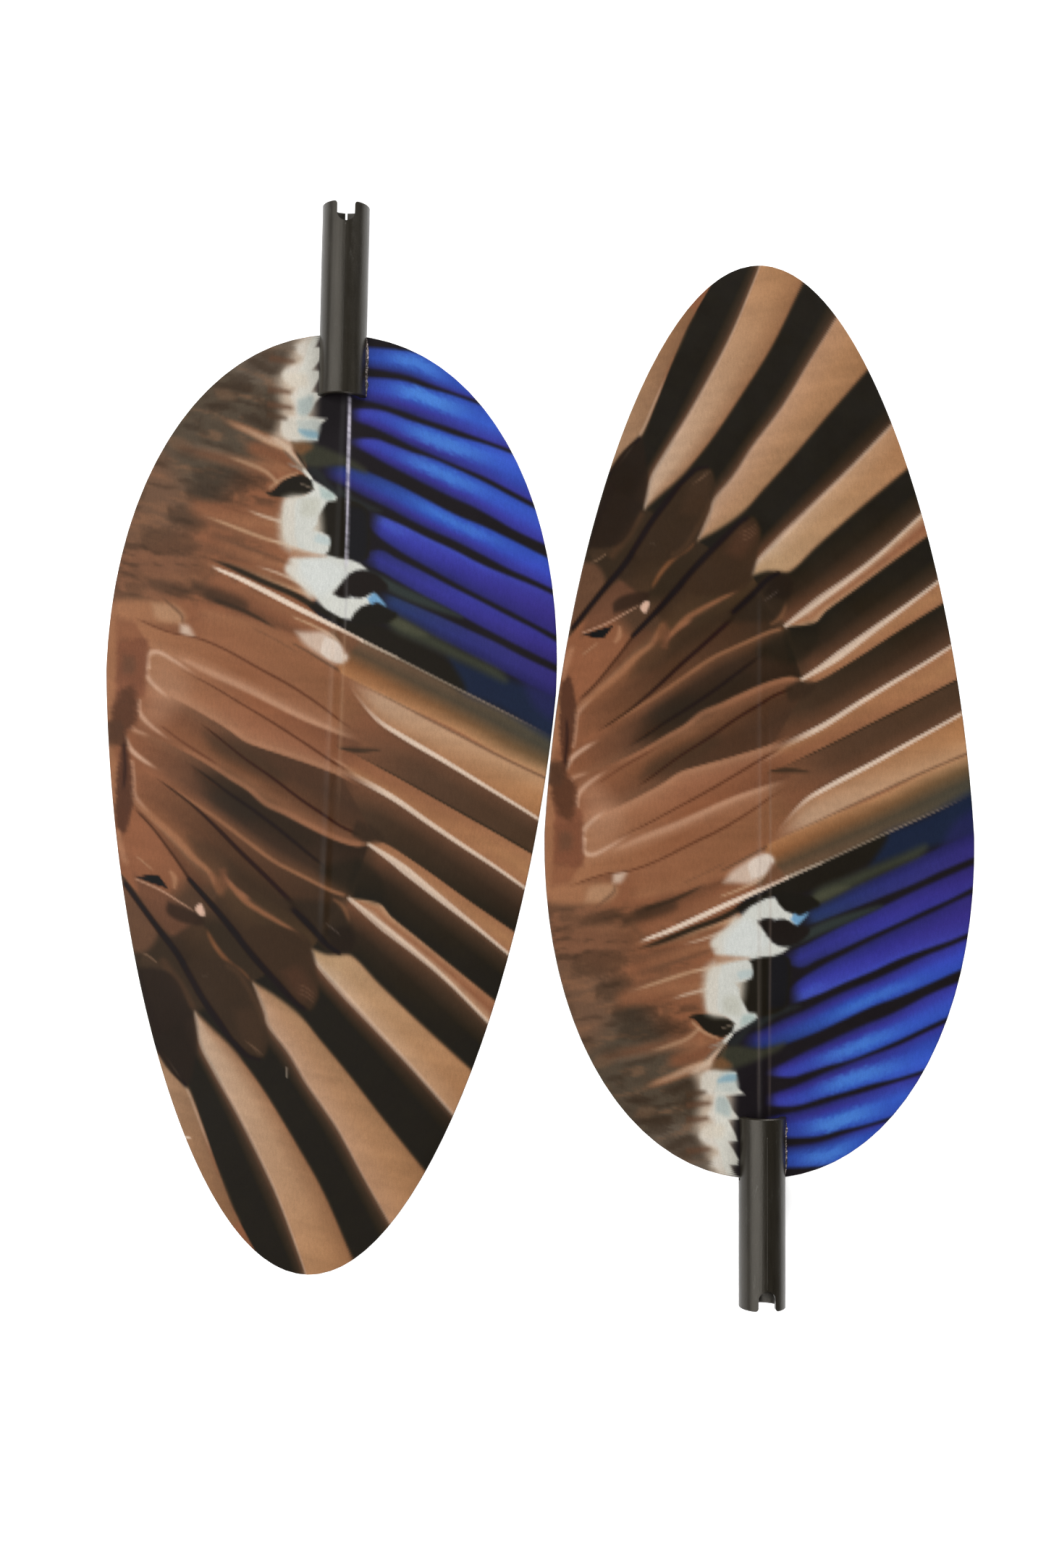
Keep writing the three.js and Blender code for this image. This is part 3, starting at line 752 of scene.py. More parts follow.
FIRST_TIP = (
    ([(-14, 199), (-1, 199), (6.6, 201), (9.6, 207), (11.6, 213), (9, 216.6), (2, 216.4), (-5, 208)],
     (53, 44, 36), 4, .85),
    ([(1, 209), (9, 207.6), (11.6, 213), (9, 216.6), (4, 216)], (44, 37, 32), 2.4, .85),
)
FIRST_TIP_LINES = (
    ([(-12, 201), (-4, 208.4), (2, 214.4), (6, 217)], [1.6, 2.2, 2, 1.4], (34, 28, 24), 1, .85, (.1, 0)),
    ([(2.6, 197.6), (7, 201), (9.6, 207)], [.6, 1.6, .8], (130, 90, 64), 1.6, .7, (.1, .3)),
    ([(0, 206), (3.6, 208.6), (6.4, 211)], [.3, .5, .3], (100, 86, 78), .6, .6, (.3, .2)),
)
TIP_SHADES = (
    ([(10, 184), (17, 187), (21, 194), (19, 199), (14, 197.6), (8, 195)], SOOT, 3, .5),
    ([(10, 170), (16, 172), (20, 176.4), (16, 178), (9, 175)], UMBER, 2, .7),
)


def covert_tips(p):
    """Rounded tips of the dark coverts, over the starts of the outer flight feathers."""
    p.patches(LOWEST_TIP)
    p.strokes(LOWEST_TIP_LINES)
    p.patches(THIRD_TIP)
    p.strokes(THIRD_TIP_LINES)
    for low in (0, 1.4, 2.6):
        barb = [(-26 + low, 248 + .6 * low), (-22 + low, 251.4 + .6 * low),
                (-20.6 + low * .6, 253.6 + .2 * low)]
        p.stroke(barb, [.3, .5, .3], (106, 82, 64), .6, .5, (.2, .1))
    p.patches(SECOND_TIP)
    for line in (THIRD_SHAFT, SECOND_SHAFT):
        p.stroke(line, [1.2, 1.6, 1.9, 2.1, 2, 1.4], (37, 30, 25), 1.2, .9, (.03, .04))
    for low in (0, 1.5, 3):
        barb = moved([(-9, 228), (-5, 229.4), (-1.6, 232)], 0, low)
        p.stroke(barb, [.3, .5, .3], (112, 84, 64), .6, .5, (.3, .1))
    p.patches(FIRST_TIP)
    p.strokes(FIRST_TIP_LINES)
    p.patches(TIP_SHADES)


OUTERMOST_STRIP = (
    ([(-75, 250), (-68, 266), (-60, 284), (-50, 302), (-36, 322)], [(-55, 252.6), (-48, 261.4), (-44, 266),
     (-40, 276), (-35, 289), (-30, 300), (-26, 309), (-20, 318.6)], [BUFF, (174, 142, 114), (158, 124, 96)],
     [TAN, (150, 108, 76), (122, 88, 64)], 2.4, 1, (0, .04)),
)


def outermost_feather(p):
    """The pale strip of one more feather along the wing's outer edge."""
    p.vanes(OUTERMOST_STRIP)
    p.stroke([(-53, 254), (-47, 262.4), (-43.6, 268), (-39, 279), (-34, 291)], [.4, .9, .6], SAND, .9, .5,
             (.2, .3))


def radiating_streaks(p):
    """Long faint streaks that follow the flight feathers out from the wing's root."""
    x, y = p.x + 142, p.y - 45
    bearing, reach = np.arctan2(y, x), np.hypot(y, x)
    fine = noise(bearing * reach / 1.5, reach / 22, 41)
    broad = noise(bearing * reach / 5 + 3, reach / 40, 43)
    warm = smooth(20, 60, p.colour[:, 0] - p.colour[:, 2])
    p.colour *= 1 + (warm * (.022 * fine + .045 * broad))[:, None]


# Inks across the upper bands at their middle, and across two of them at their start.
BRIGHT = [BLUE, (57, 94, 184), (56, 86, 178), LILAC, NIGHT]
VIOLETS = [(62, 58, 136), (64, 62, 156), (60, 56, 138), (48, 44, 90)]

# Each blue band: its upper and lower edges, and its inks across at its start, middle and end.
BLUE_BANDS = (
    ([(0, 3.8), (15, 4), (25, 5), (34, 9), (48, 17)], [(0, 10.4), (15, 12), (22, 13.2), (30, 15.6),
     (40, 18.4), (50, 21)], [(56, 72, 150), BLUE, NIGHT], BRIGHT[:3] + [NIGHT], [BLUE, BLUE, LILAC]),
    ([(0, 14.4), (18, 14.6), (28, 16.8), (38, 18.9), (52, 23)], [(0, 21.4), (12, 23.6), (20, 25.6),
     (28, 28), (36, 30), (45, 32.6), (60, 37)], [(56, 62, 140), (62, 66, 160), NIGHT], BRIGHT,
     [BLUE, (60, 92, 190), LILAC]),
    ([(0, 26), (8, 25.4), (14, 26), (22, 28.4), (30, 30.4), (40, 33.2), (50, 35.4), (62, 39)], [(0, 29.4),
     (8, 31.4), (15, 34), (22, 37), (30, 40), (40, 43.5), (50, 47), (60, 51.5), (70, 56)], VIOLETS, BRIGHT,
     [(62, 84, 186), (64, 96, 200), BLUE, LILAC]),
    ([(0, 36.6), (10, 35.8), (16, 37.3), (24, 39.8), (32, 41.8), (40, 44.8), (50, 48.8), (60, 53.4),
     (74, 59.6)], [(3, 39), (8, 41), (15, 44.5), (22, 47.6), (30, 51.2), (38, 54.6), (46, 57.6), (54, 61.4),
     (62, 65.4), (76, 71)], VIOLETS, BRIGHT, [BLUE, (64, 88, 192), (64, 72, 172), LILAC]),
    ([(-9, 46), (0, 45.8), (6, 46.8), (12, 48.8), (20, 51.8), (30, 56.3), (40, 60.8), (50, 64.3),
     (60, 68.4), (76, 75.4)], [(-9, 50), (0, 53), (8, 56.5), (16, 59.8), (24, 63.6), (32, 67), (40, 70),
     (50, 74.4), (60, 79), (68, 82), (80, 87)], [(40, 46, 70), (48, 50, 104), (52, 50, 110), (42, 42, 62)],
     BRIGHT, [BLUE, (62, 76, 180), LILAC]),
    ([(9.4, 61.3), (14, 62.8), (22, 65.8), (30, 69.3), (40, 73.3), (50, 77.8), (60, 81.4), (70, 84.8),
     (80, 89)], [(9.4, 66.4), (14, 70.6), (22, 75.4), (30, 79.4), (40, 84.4), (50, 89), (60, 93.4),
     (70, 98), (80, 102.6)], [(70, 84, 176), (64, 70, 168), (50, 50, 110)],
     [(66, 76, 176), (62, 60, 148), (56, 54, 134), NIGHT], [(64, 62, 146), (62, 54, 130), (54, 48, 110)]),
    ([(6, 77), (14, 74.8), (20, 77.4), (30, 81.8), (40, 86.4), (50, 90.8), (60, 95.4), (70, 99.8),
     (80, 105)], [(6, 79.6), (14, 82), (20, 85), (30, 90), (40, 94.5), (50, 99.4), (60, 104), (70, 108.4),
     (80, 112.8)], [(46, 48, 84), (54, 56, 124), (48, 50, 96)],
     [(60, 62, 146), (60, 58, 140), (52, 50, 112)], [(60, 56, 132), (60, 52, 124), (52, 46, 100)]),
    ([(14, 89), (20, 91), (28, 94), (36, 97), (46, 101), (56, 105), (66, 109.6), (80, 115.4)], [(15, 94),
     (18, 96), (26, 100), (34, 104), (44, 108.4), (54, 113), (64, 117.4), (72, 121), (80, 124.6)],
     [(48, 62, 88), (46, 60, 96), (42, 46, 60)], [(54, 56, 112), (52, 54, 112), (42, 42, 78)],
     [(58, 52, 116), (56, 50, 112), (46, 44, 88)]),
)

# The whole blue patch, which is black between its bands.
BLUE_FIELD = (
    ([(-13, -6), (90, -6), (90, 143), (60, 129.4), (40, 120.6), (20, 111.6), (8, 106.4), (-4, 101),
     (-10, 96), (-4, 90), (-6, 70), (-10, 60), (-13, 46), (-14, 38), (-15, 30), (-14, 20), (-13, 8)],
     (39, 36, 38), 1, 1, 0, True),
    ([(40, 111), (60, 117.6), (84, 125), (84, 141), (60, 129), (44, 122)], (38, 46, 66), 5, .9),
    ([(66, 118), (84, 124), (84, 134), (72, 128)], (48, 46, 92), 5, .6),
    ([(14, 101), (24, 105), (40, 113), (46, 123), (30, 116), (14, 109), (2, 103)], SOOT, 3, .9),
)

# Speckled lighter blue along the middle of the upper bands: line, width and strength.
LIGHT_LINES = (
    ([(10, 6.4), (18, 7), (24, 8), (31, 11), (38, 14.6)], 4.6, .62),
    ([(12, 17.6), (24, 19), (32, 21.6), (40, 23.8), (48, 27)], 5.2, .8),
    ([(16, 29.4), (26, 33), (36, 36.4), (46, 39), (58, 43)], 5, .66),
    ([(16, 40), (26, 43.4), (36, 47.2), (46, 51), (56, 55.4)], 4.4, .6),
    ([(20, 54), (32, 60), (44, 65.4), (56, 70), (66, 74)], 3.6, .42),
    ([(11, 63.6), (18, 67), (26, 70)], 2.4, .2),
)

# Olive light on the lowest feathers of the patch.
OLIVE_LIGHTS = (
    ([(17, 96.4), (24, 99), (34, 104), (46, 109.6), (58, 115), (60, 119), (48, 114), (32, 107.6),
     (20, 102.6)], (68, 71, 57), 4, .8),
    ([(18, 97), (24, 99.4), (32, 103.6), (28, 104), (20, 101)], (80, 80, 64), 2.4, .7),
    ([(8, 81.6), (14, 83.6), (22, 87), (34, 92), (44, 97), (30, 93.6), (18, 89)], (58, 65, 62), 2.6, .85),
    ([(-2, 53), (6, 57.6), (14, 61), (8, 60.6), (0, 57)], (50, 54, 52), 2.4, .7),
)


def evenly(inks):
    """Five inks, spread evenly over the ones given."""
    return across_stops(np.linspace(0, 1, 5), np.array(inks, float))


def speculum(p):
    """The blue patch: blue bands that fan out to the right between black gaps."""
    p.patches(BLUE_FIELD)
    for upper, lower, start, middle, end in BLUE_BANDS:
        p.vane(upper, lower, evenly(start), evenly(end), 1.5, 1, (.1, 0), evenly(middle))
    speckle = noise(p.x / 1.5, (p.y - .35 * p.x) / .8, 61, 2)
    for line, width, amount in LIGHT_LINES:
        d, along = nearest(curve(line), p.x, p.y)
        mask = smooth(width / 2 + 1.2, width / 2 - 2, d + 1.1 * speckle)
        mask = mask * smooth(0, .35, along) * smooth(0, .5, 1 - along)
        p.lay_all(amount * mask, (80, 134, 212))
    p.patches(OLIVE_LIGHTS)


# The black ground between the white bar's two parts and the blue patch.
BLACK_GROUND = (
    ([(-5, 58.6), (0, 57.4), (8, 60), (10, 66), (10.4, 74), (8.6, 78.6), (-4.4, 77.8), (-3.4, 72), (-6, 70),
     (-9.4, 69.2), (-8, 64), (-6.4, 60.6)], SOOT, 1.4, 1),
    ([(2, 60), (8, 61), (9.6, 68), (9, 78), (3, 78)], (36, 36, 40), 3, .8),
)

# The white bar's upper part: soft brownish white first, then crisp white against the black teeth.
UPPER_WHITE = (
    ([(-15, -2), (-18, 3), (-20, 9), (-22, 14), (-24, 18), (-23, 26), (-23, 32), (-23.4, 38), (-12, 39),
     (-11, 20), (-12, -2)], (200, 182, 162), 6, .9),
    ([(-16, -3), (-15.4, 2.6), (-18.6, 5), (-17.6, 7.6), (-15.8, 9), (-17, 11), (-21.6, 13.4), (-22.6, 16),
     (-20, 18.6), (-17.8, 20), (-19.6, 22.6), (-18.8, 24.6), (-18, 27), (-18, 29.4), (-21.4, 30.6),
     (-22, 33), (-21.6, 36), (-19, 38.2), (-15, 38), (-14.4, 20), (-14, -3)], (214, 206, 194), 2.6, .95),
    ([(-8.6, -3), (-11.6, 5), (-9, 5), (-8.6, 7), (-10.2, 10), (-12.2, 13), (-9, 13.4), (-9.6, 15.6),
     (-12.2, 20.6), (-8.4, 21.4), (-10.8, 24.4), (-13.4, 29.4), (-6.4, 29.9), (-9.2, 32.4), (-10.2, 35),
     (-9.2, 37.8), (-14, 38), (-17, 38.2), (-19, 36), (-18.6, 33), (-17, 30.4), (-16, 28), (-16.4, 25.6),
     (-17.4, 23.4), (-16.6, 21), (-16.8, 18.6), (-19, 16.4), (-17, 13.6), (-15.4, 11), (-14.8, 8),
     (-14.4, 5), (-13, 2), (-11.6, -3)], CHALK, 1.1, 1, 0, True),
    ([(-22, 15), (-15, 14.6), (-14, 19), (-20, 19)], (212, 200, 182), 3, .7),
    ([(-22, 31), (-15, 31), (-14, 37), (-21, 37)], (206, 198, 184), 3, .75),
    ([(-17, 24), (-12, 22), (-11.6, 26), (-13.6, 29), (-16.6, 28.6)], (172, 182, 178), 2.4, .9),
    ([(-17, 31), (-9, 31), (-10, 37), (-15, 37.4)], (188, 194, 188), 2, .8),
    ([(-16, 34), (-10, 34.6), (-9.6, 37), (-13, 36.8), (-16, 35)], (124, 162, 178), 2, .8),
)

# Brown lines that run in between its feathers: line and ink.
UPPER_GAPS = (
    ([(-28, 10), (-22, 10.4), (-17, 10.6)], COCOA),
    ([(-28, 21), (-22, 21.2), (-18, 22)], COCOA),
    ([(-28, 26), (-22, 26.6), (-17, 27)], COCOA),
    ([(-28, 29.6), (-23, 30.4), (-19, 31)], BARK),
    ([(-26, 5), (-21, 5.6), (-17, 6)], STONE),
)

OLIVE_FEATHER = (
    ([(-18, 39), (-13, 38.6), (-7, 40), (1, 43), (6, 45.4), (8, 48), (0, 46), (-6, 46.6), (-11, 47.2),
     (-15, 45)], (62, 62, 51), 3, .9),
    ([(-18.6, 39), (-14, 38.7), (-11, 40), (-14, 42.6), (-16, 42.6)], (122, 84, 56), 2.6, .8),
)

PALE_EDGE = (
    ([(-28, 36.6), (-23, 38.6), (-19.6, 41.4), (-16.6, 44.8), (-13.6, 48.4)], [.6, 1.4, 1.7, 1.3], SAND,
     1.2, .85, (.25, 0)),
    ([(-22, 41), (-17.6, 45), (-13, 49)], [.5, 1.2, 1], STONE, 1, .6, (.2, 0)),
    ([(-20, 46.4), (-16, 47.6), (-12.6, 50)], [.6, 1, .8], (150, 146, 136), .8, .6, (.2, 0)),
    ([(-13.6, 48.4), (-11.4, 51)], [1, 1.5], CHALK, .6, 1),
    ([(-26, 56), (-21, 51.8), (-15, 49.2)], [.8, 1.2, .8], BUFF, 1.2, .6, (.1, .1)),
)

# The black leaf-shaped mark, then the lower white patches: soft on their left, crisp on the black.
LOWER_WHITE = (
    ([(-26.6, 57.2), (-24, 56), (-20.6, 52.4), (-16, 50.3), (-13, 50.4), (-10.2, 52.8), (-9.8, 54.6),
     (-13, 57), (-19, 58.4), (-25, 57.9)], SOOT, .7, 1),
    ([(-20, 58.6), (-21.4, 66), (-20.6, 74), (-16, 78.6), (-18, 84), (-13, 89), (-9, 93), (-6, 80),
     (-8, 60), (-16, 57.6)], (202, 192, 176), 4.6, .92),
    ([(-15, 57.4), (-19.4, 58.8), (-20.4, 63), (-20, 68), (-19.4, 72), (-17, 76), (-14.6, 78), (-17.4, 80),
     (-18.4, 84), (-14, 87.8), (-9, 92), (-3, 96.6), (0, 90), (-6, 80), (-10, 68), (-10, 58)],
     (208, 202, 190), 2.4, .95),
    ([(-11, 51.2), (-6, 54), (-1.8, 57), (-2.2, 58.4), (-5, 58.8), (-6.6, 61.6), (-8, 64), (-8.4, 67),
     (-9.8, 69.2), (-6.4, 69.8), (-3.8, 71), (-3.4, 73.6), (-3.8, 76), (-5, 77.4), (0, 78.6), (4, 78.8),
     (7.4, 80), (10, 82), (6, 82.4), (3.4, 84), (2, 86.4), (0, 89), (-2, 90.6), (1, 92.2), (4, 92), (8, 92),
     (11, 90.6), (12.6, 90), (14, 92), (11, 94), (8.4, 95), (6.4, 97.4), (4.8, 99.8), (1, 99.4), (-4, 96.6),
     (-7, 92.8), (-9, 89), (-12, 85), (-13.4, 82), (-13, 79.6), (-12, 78), (-14.6, 75), (-16, 71),
     (-16, 66), (-16.4, 61), (-15.6, 58.8), (-13, 57.4), (-10, 55)], (205, 205, 197), 1.2, 1, 0, True),
    ([(-14, 58.4), (-8, 58), (-8.6, 64), (-14, 64)], (190, 189, 176), 3, .8),
    ([(-8, 53.6), (-3, 56), (-3, 58), (-7, 57.6)], (158, 178, 174), 1.8, .7),
    ([(-8, 70.4), (-4, 71.6), (-4, 74), (-9, 73)], (180, 193, 192), 1.4, .8),
    ([(-14, 79.6), (-4, 79), (3, 83.4), (-1, 88), (-6, 92), (-14, 86)], MIST, 4, .7),
    ([(-17, 75.8), (-8, 77.4), (-4.6, 78), (-9, 78.6), (-16, 79)], FAWN, 2, .7),
)

# Brown lines that run in between the lower patches: line and ink.
LOWER_GAPS = (
    ([(-30, 62), (-24, 63), (-19.6, 63.4)], RUSSET),
    ([(-30, 69), (-24, 70), (-19.4, 70.6)], RUSSET),
    ([(-27, 79), (-20, 80.6), (-15, 81.6)], CHESTNUT),
    ([(-24, 86), (-17, 88), (-12, 90)], CHESTNUT),
)

LOWER_WHITE_LINES = (
    ([(-24, 73.4), (-14, 76.2), (-8, 78)], [.5, .9, .6], SAND, 1, .6),
    ([(-14.6, 53.2), (-12.6, 53.8), (-10.2, 54.8)], [.3, .8, .5], STONE, .5, .9),
    ([(4, 91.2), (5.4, 92.4)], [.5, .5], MIST, .5, .8),
)

# The two lower black marks, and the light blue tip between them.
LOWER_BLACK_MARKS = (
    ([(-1.8, 91), (0, 88.6), (2.4, 85.6), (5, 83.4), (10, 82.4), (15, 84.6), (17.6, 88), (14, 89.6),
     (12, 89.8), (9, 91.6), (4.6, 91.4), (2, 92.4)], (40, 36, 34), 1.4, 1, .4),
    ([(5, 100), (6.8, 96.6), (9.6, 94.9), (14, 93.9), (18, 95.6), (21, 97), (19, 99.8), (14, 100.6),
     (8, 101.4)], (38, 36, 29), 1.6, 1, .4),
    ([(10.4, 92), (12.6, 90), (14.8, 91.6), (17, 94.4), (13.8, 93.2), (11.8, 94)], (112, 156, 190), 1.3, 1),
)


def white_bar(p):
    """The broken white bar, with black teeth on its right and soft brown on its left."""
    p.patches(BLACK_GROUND)
    p.patches(UPPER_WHITE)
    for line, colour in UPPER_GAPS:
        p.stroke(line, [2.2, 2, .8], colour, 2, .75, (.1, .25))
    p.patches(OLIVE_FEATHER)
    p.stroke([(-17, 41.6), (-14.4, 46), (-11.4, 50.6)], [.6, 1.2, .8], (44, 40, 34), 1, .8, (.2, .1))
    p.patch([(-13, 48), (-9, 47.4), (-4, 53), (0, 56), (-3, 56.4), (-8, 52)], (46, 48, 48), 2, .8)
    p.strokes(PALE_EDGE)
    p.patches(LOWER_WHITE)
    for line, colour in LOWER_GAPS:
        p.stroke(line, [1.6, 1.5, .6], colour, 2.2, .6, (.1, .35))
    p.strokes(LOWER_WHITE_LINES)
    p.patches(LOWER_BLACK_MARKS)


LONG_SHAFT_LINES = (
    ([(-47, 80.4), (-36, 84.2), (-26, 88.2), (-16, 91.8), (-8, 95.8), (0, 99.8), (6, 102)],
     [.5, 1.8, 2, 2.2, 1.6], SOOT, 1.2, .9, (.15, 0)),
    ([(-45, 83.4), (-41, 85), (-34, 87.6), (-24, 92), (-14, 96.6), (-4, 101), (4, 104.6), (14, 109),
     (22, 112.4)], [.8, 1.6, 1.9, 1.8, 1.5, 1, .6], CREAM, .7, 1, (.06, 0)),
    ([(10, 107.4), (20, 111.6), (40, 120.6), (60, 129.4), (80, 138.4)], [.9, .7, .6, .4, .3],
     (150, 134, 116), .7, .8, (0, .3)),
    ([(-15, 100), (-8, 102.6), (-2, 105.4), (2, 108.6)], [.5, 1, .6], BUFF, .7, .8),
)

SHAFT_START = (
    ([(-14, 105), (-9, 104.8), (-4, 104.6), (0, 107), (3, 110), (4.4, 113), (3, 115), (0, 115.4), (-5, 113),
     (-11, 109)], (206, 184, 166), 3, .9),
    ([(-4, 106.4), (0, 107.6), (3.2, 110.4), (4.2, 113), (2.6, 115), (-1, 114.6), (-5, 111.6)],
     (214, 198, 184), 1.2, .9),
    ([(0, 103.4), (8, 107), (4, 112), (2, 109)], CHESTNUT, 2, .6),
)


def long_shaft(p):
    """The long pale shaft under the speculum, and the black line over it."""
    p.strokes(LONG_SHAFT_LINES)
    p.patches(SHAFT_START)


# The left print's painted highlight, a glint line down the rib below its socket, its dust marks, and the
# rib's faint double line.
# Painted highlight: the rib's lilac-white glint line below the left socket, fading down the wing.
LEFT_RIB_GLINT_LINE = (
    ([(1, 21), (1.5, 40), (2, 60), (2.5, 80)], [1.6, 1.4, 1.1, .7], (120, 116, 132), 1, .5, (.02, .25)),
)
# Two dust marks, a fainter painted highlight that carries the glint line on, and faint lighter lines along
# the rib's edges.
LEFT_DUST_GLINT_AND_LINES = (
    ([(-10.4, 257.6), (-10.2, 261)], [.4, .4], CREAM, .5, .7),
    ([(-44.4, 283), (-42.6, 282.6)], [.5, .4], CREAM, .5, .9),
    # Painted highlight: the glint line's faint tail.
    ([(2.3, 76), (2.8, 92), (3, 108)], [.7, .5, .4], (150, 146, 150), .9, .45, (.2, .3)),
    # Faint lighter lines along the rib's edges.
    ([(3, 100), (3.2, 140), (3.6, 176)], [1, 1.1, .8], BUFF, 1, .26, (.1, .5)),
    ([(-1, 98), (-.9, 130), (-.8, 160)], [1, 1, .6], BUFF, 1.2, .14, (.1, .3)),
)
# Faint lighter lines along the rib's two edges.
RIGHT_RIB_LINES = (
    ([(-1.4, 16), (-1.1, 90), (-.8, 172)], [.6, .7, .5], (150, 130, 118), 1, .28, (.1, .3)),
    ([(2.6, 16), (2.9, 90), (3.2, 172)], [.6, .7, .5], (150, 130, 118), 1, .28, (.1, .3)),
)
GLINTS = 50
GLINT_STEP = 1.18


def glints(p):
    """Painted glints: small bright places along the left wing's painted highlight line, weaker further
    down.
    """
    for k in range(GLINTS):
        s = 22 + GLINT_STEP * k
        x = .55 + .0245 * s
        shine = float(lattice(k, 4, 9)) * (1 - k / 70)
        # Each dash is a painted glint.
        p.stroke([(x, s), (x + .03, s + 1.2)], [1, 1], (214, 208, 222), .7, .25 + .7 * shine)


def rib_glint_and_lines(p, side):
    """Marks along the blade's rib: on the left wing a painted highlight, brightest below the socket, with
    dust marks; on both wings faint lighter lines along the rib's edges.
    """
    if side == "right":
        p.strokes(RIGHT_RIB_LINES)
        return
    # The left wing: the painted highlight line, its painted glints, then dust marks and lines.
    p.strokes(LEFT_RIB_GLINT_LINE)
    glints(p)
    p.strokes(LEFT_DUST_GLINT_AND_LINES)


def feather_print(x, y):
    """The whole print at many places, painted from the wing's ground up."""
    p = Print(x, y, RUSSET)
    layers = (coverts, long_coverts, secondaries, leading_edge, lower_coverts, outer_wing,
              outermost_feather, covert_tips, radiating_streaks, speculum, white_bar, long_shaft)
    for paint in layers:
        paint(p)
    return p


def half_width(s):
    """Half the blade's width at a distance from its root."""
    up = np.clip((WIDEST_AT - s) / WIDEST_AT, 0, 1)
    down = np.clip((s - WIDEST_AT) / (BLADE_LENGTH - WIDEST_AT), 0, 1)
    root = BLADE_HALF_WIDTH * np.clip(1 - up**ROOT_ROUNDNESS, 0, 1) ** (1 / ROOT_ROUNDNESS)
    tip = BLADE_HALF_WIDTH * np.sqrt(np.clip(1 - down * down, 0, 1)) * (1 - TIP_NARROWING * down)
    return np.where(s < WIDEST_AT, root, tip)


def rib_height(x, s):
    """How high the blade's low middle rib stands there."""
    run = smooth(0, 1, np.minimum(s - RIB_START, RIB_END - s) / RIB_RUN_OUT)
    across = np.clip(np.abs(x) / RIB_HALF_WIDTH, 0, 1)
    return RIB_HEIGHT * run * (1 + np.cos(math.pi * across)) / 2


def print_rows():
    """Places down the film for its rows of vertices, closer together at both round ends."""
    ends = np.array([0.02, 0.08, 0.2, 0.4])
    middle = np.arange(0.75, FILM_LENGTH - 0.7, CELL)
    return np.concatenate([ends, middle, FILM_LENGTH - ends[::-1]])


def film_grid():
    """The film's flat grid: places across and down, without its two end points."""
    rows = print_rows()
    u = np.linspace(-1, 1, COLUMNS + 1)
    scale = (BLADE_HALF_WIDTH - FILM_INSET) / BLADE_HALF_WIDTH
    width = half_width(rows / FILM_LENGTH * BLADE_LENGTH) * scale
    x = width[:, None] * u[None, :]
    s = np.repeat(rows[:, None] + FILM_INSET, len(u), axis=1)
    return x, s


def quads(a, b, c, d):
    """Faces from four grids of corner numbers."""
    return np.stack([a, b, c, d], 2).reshape(-1, 4).tolist()


def end_fans(grid, first, last, upward):
    """Triangles from the two end points to the grid's first and last rows."""
    faces = []
    for k in range(grid.shape[1] - 1):
        near = [first, grid[0, k], grid[0, k + 1]]
        far = [last, grid[-1, k + 1], grid[-1, k]]
        faces += [near, far] if upward else [[near[0], near[2], near[1]], [far[0], far[2], far[1]]]
    return faces


def edge_walls(top, low, ends):
    """The narrow walls down both sides of the film."""
    first, last, low_first, low_last = ends
    faces = []
    for side, flip in ((0, False), (-1, True)):
        up = [first] + list(top[:, side]) + [last]
        down = [low_first] + list(low[:, side]) + [low_last]
        for k in range(len(up) - 1):
            wall = [up[k], down[k], down[k + 1], up[k + 1]]
            faces.append(wall[::-1] if flip else wall)
    return faces


def film_shape():
    """One film: its vertices at x, s and height, and its faces. Its hidden lower face is coarse."""
    x, s = film_grid()
    back = FILM_FACE - FILM_THICKNESS
    top = np.stack([x, s, FILM_FACE + rib_height(x, s)], 2)
    low_x = x[:, -1:] * LOWER_COLUMNS
    low_s = np.repeat(s[:, :1], len(LOWER_COLUMNS), axis=1)
    low = np.stack([low_x, low_s, np.full(low_x.shape, back)], 2)
    far = BLADE_LENGTH - FILM_INSET
    ends = [(0, FILM_INSET, FILM_FACE), (0, far, FILM_FACE), (0, FILM_INSET, back), (0, far, back)]
    points = np.vstack([top.reshape(-1, 3), low.reshape(-1, 3), ends])
    t = np.arange(x.size).reshape(x.shape)
    b = x.size + np.arange(low_x.size).reshape(low_x.shape)
    first, last, low_first, low_last = range(x.size + low_x.size, len(points))
    faces = quads(t[:-1, :-1], t[1:, :-1], t[1:, 1:], t[:-1, 1:])
    faces += quads(b[:-1, :-1], b[:-1, 1:], b[1:, 1:], b[1:, :-1])
    faces += end_fans(t, first, last, True) + end_fans(b, low_first, low_last, False)
    faces += edge_walls(t, b, (first, last, low_first, low_last))
    return points, [[int(v) for v in face] for face in faces]


def wing_matrix(root, turn):
    """From a wing's own frame, in millimetres, to the row frame in metres."""
    place = Matrix.Translation(Vector(root) * MM) @ Matrix.Rotation(turn, 4, "Z")
    return place @ Matrix.Rotation(REST_TILT, 4, "X") @ Matrix.Scale(MM, 4)


def show(name, data):
    """A new object in the scene."""
    thing = bpy.data.objects.new(name, data)
    bpy.context.scene.collection.objects.link(thing)
    return thing


def link(name, points, faces, smooth_shading=False):
    """A new mesh object."""
    mesh = bpy.data.meshes.new(name)
    mesh.from_pydata([tuple(p) for p in points], [], faces)
    mesh.validate()
    if smooth_shading:
        mesh.polygons.foreach_set("use_smooth", [True] * len(mesh.polygons))
    return show(name, mesh)


def stand_in(piece, node, body):
    """Makes the piece stand for a CAD node and move with its body."""
    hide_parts(node)
    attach(piece, body)


def linear(colour):
    """Screen colours from 0 to 255 as the linear values that a shader wants."""
    c = np.clip(np.asarray(colour, float) / 255, 0, 1)
    return np.where(c <= 0.04045, c / 12.92, ((c + 0.055) / 1.055) ** 2.4)


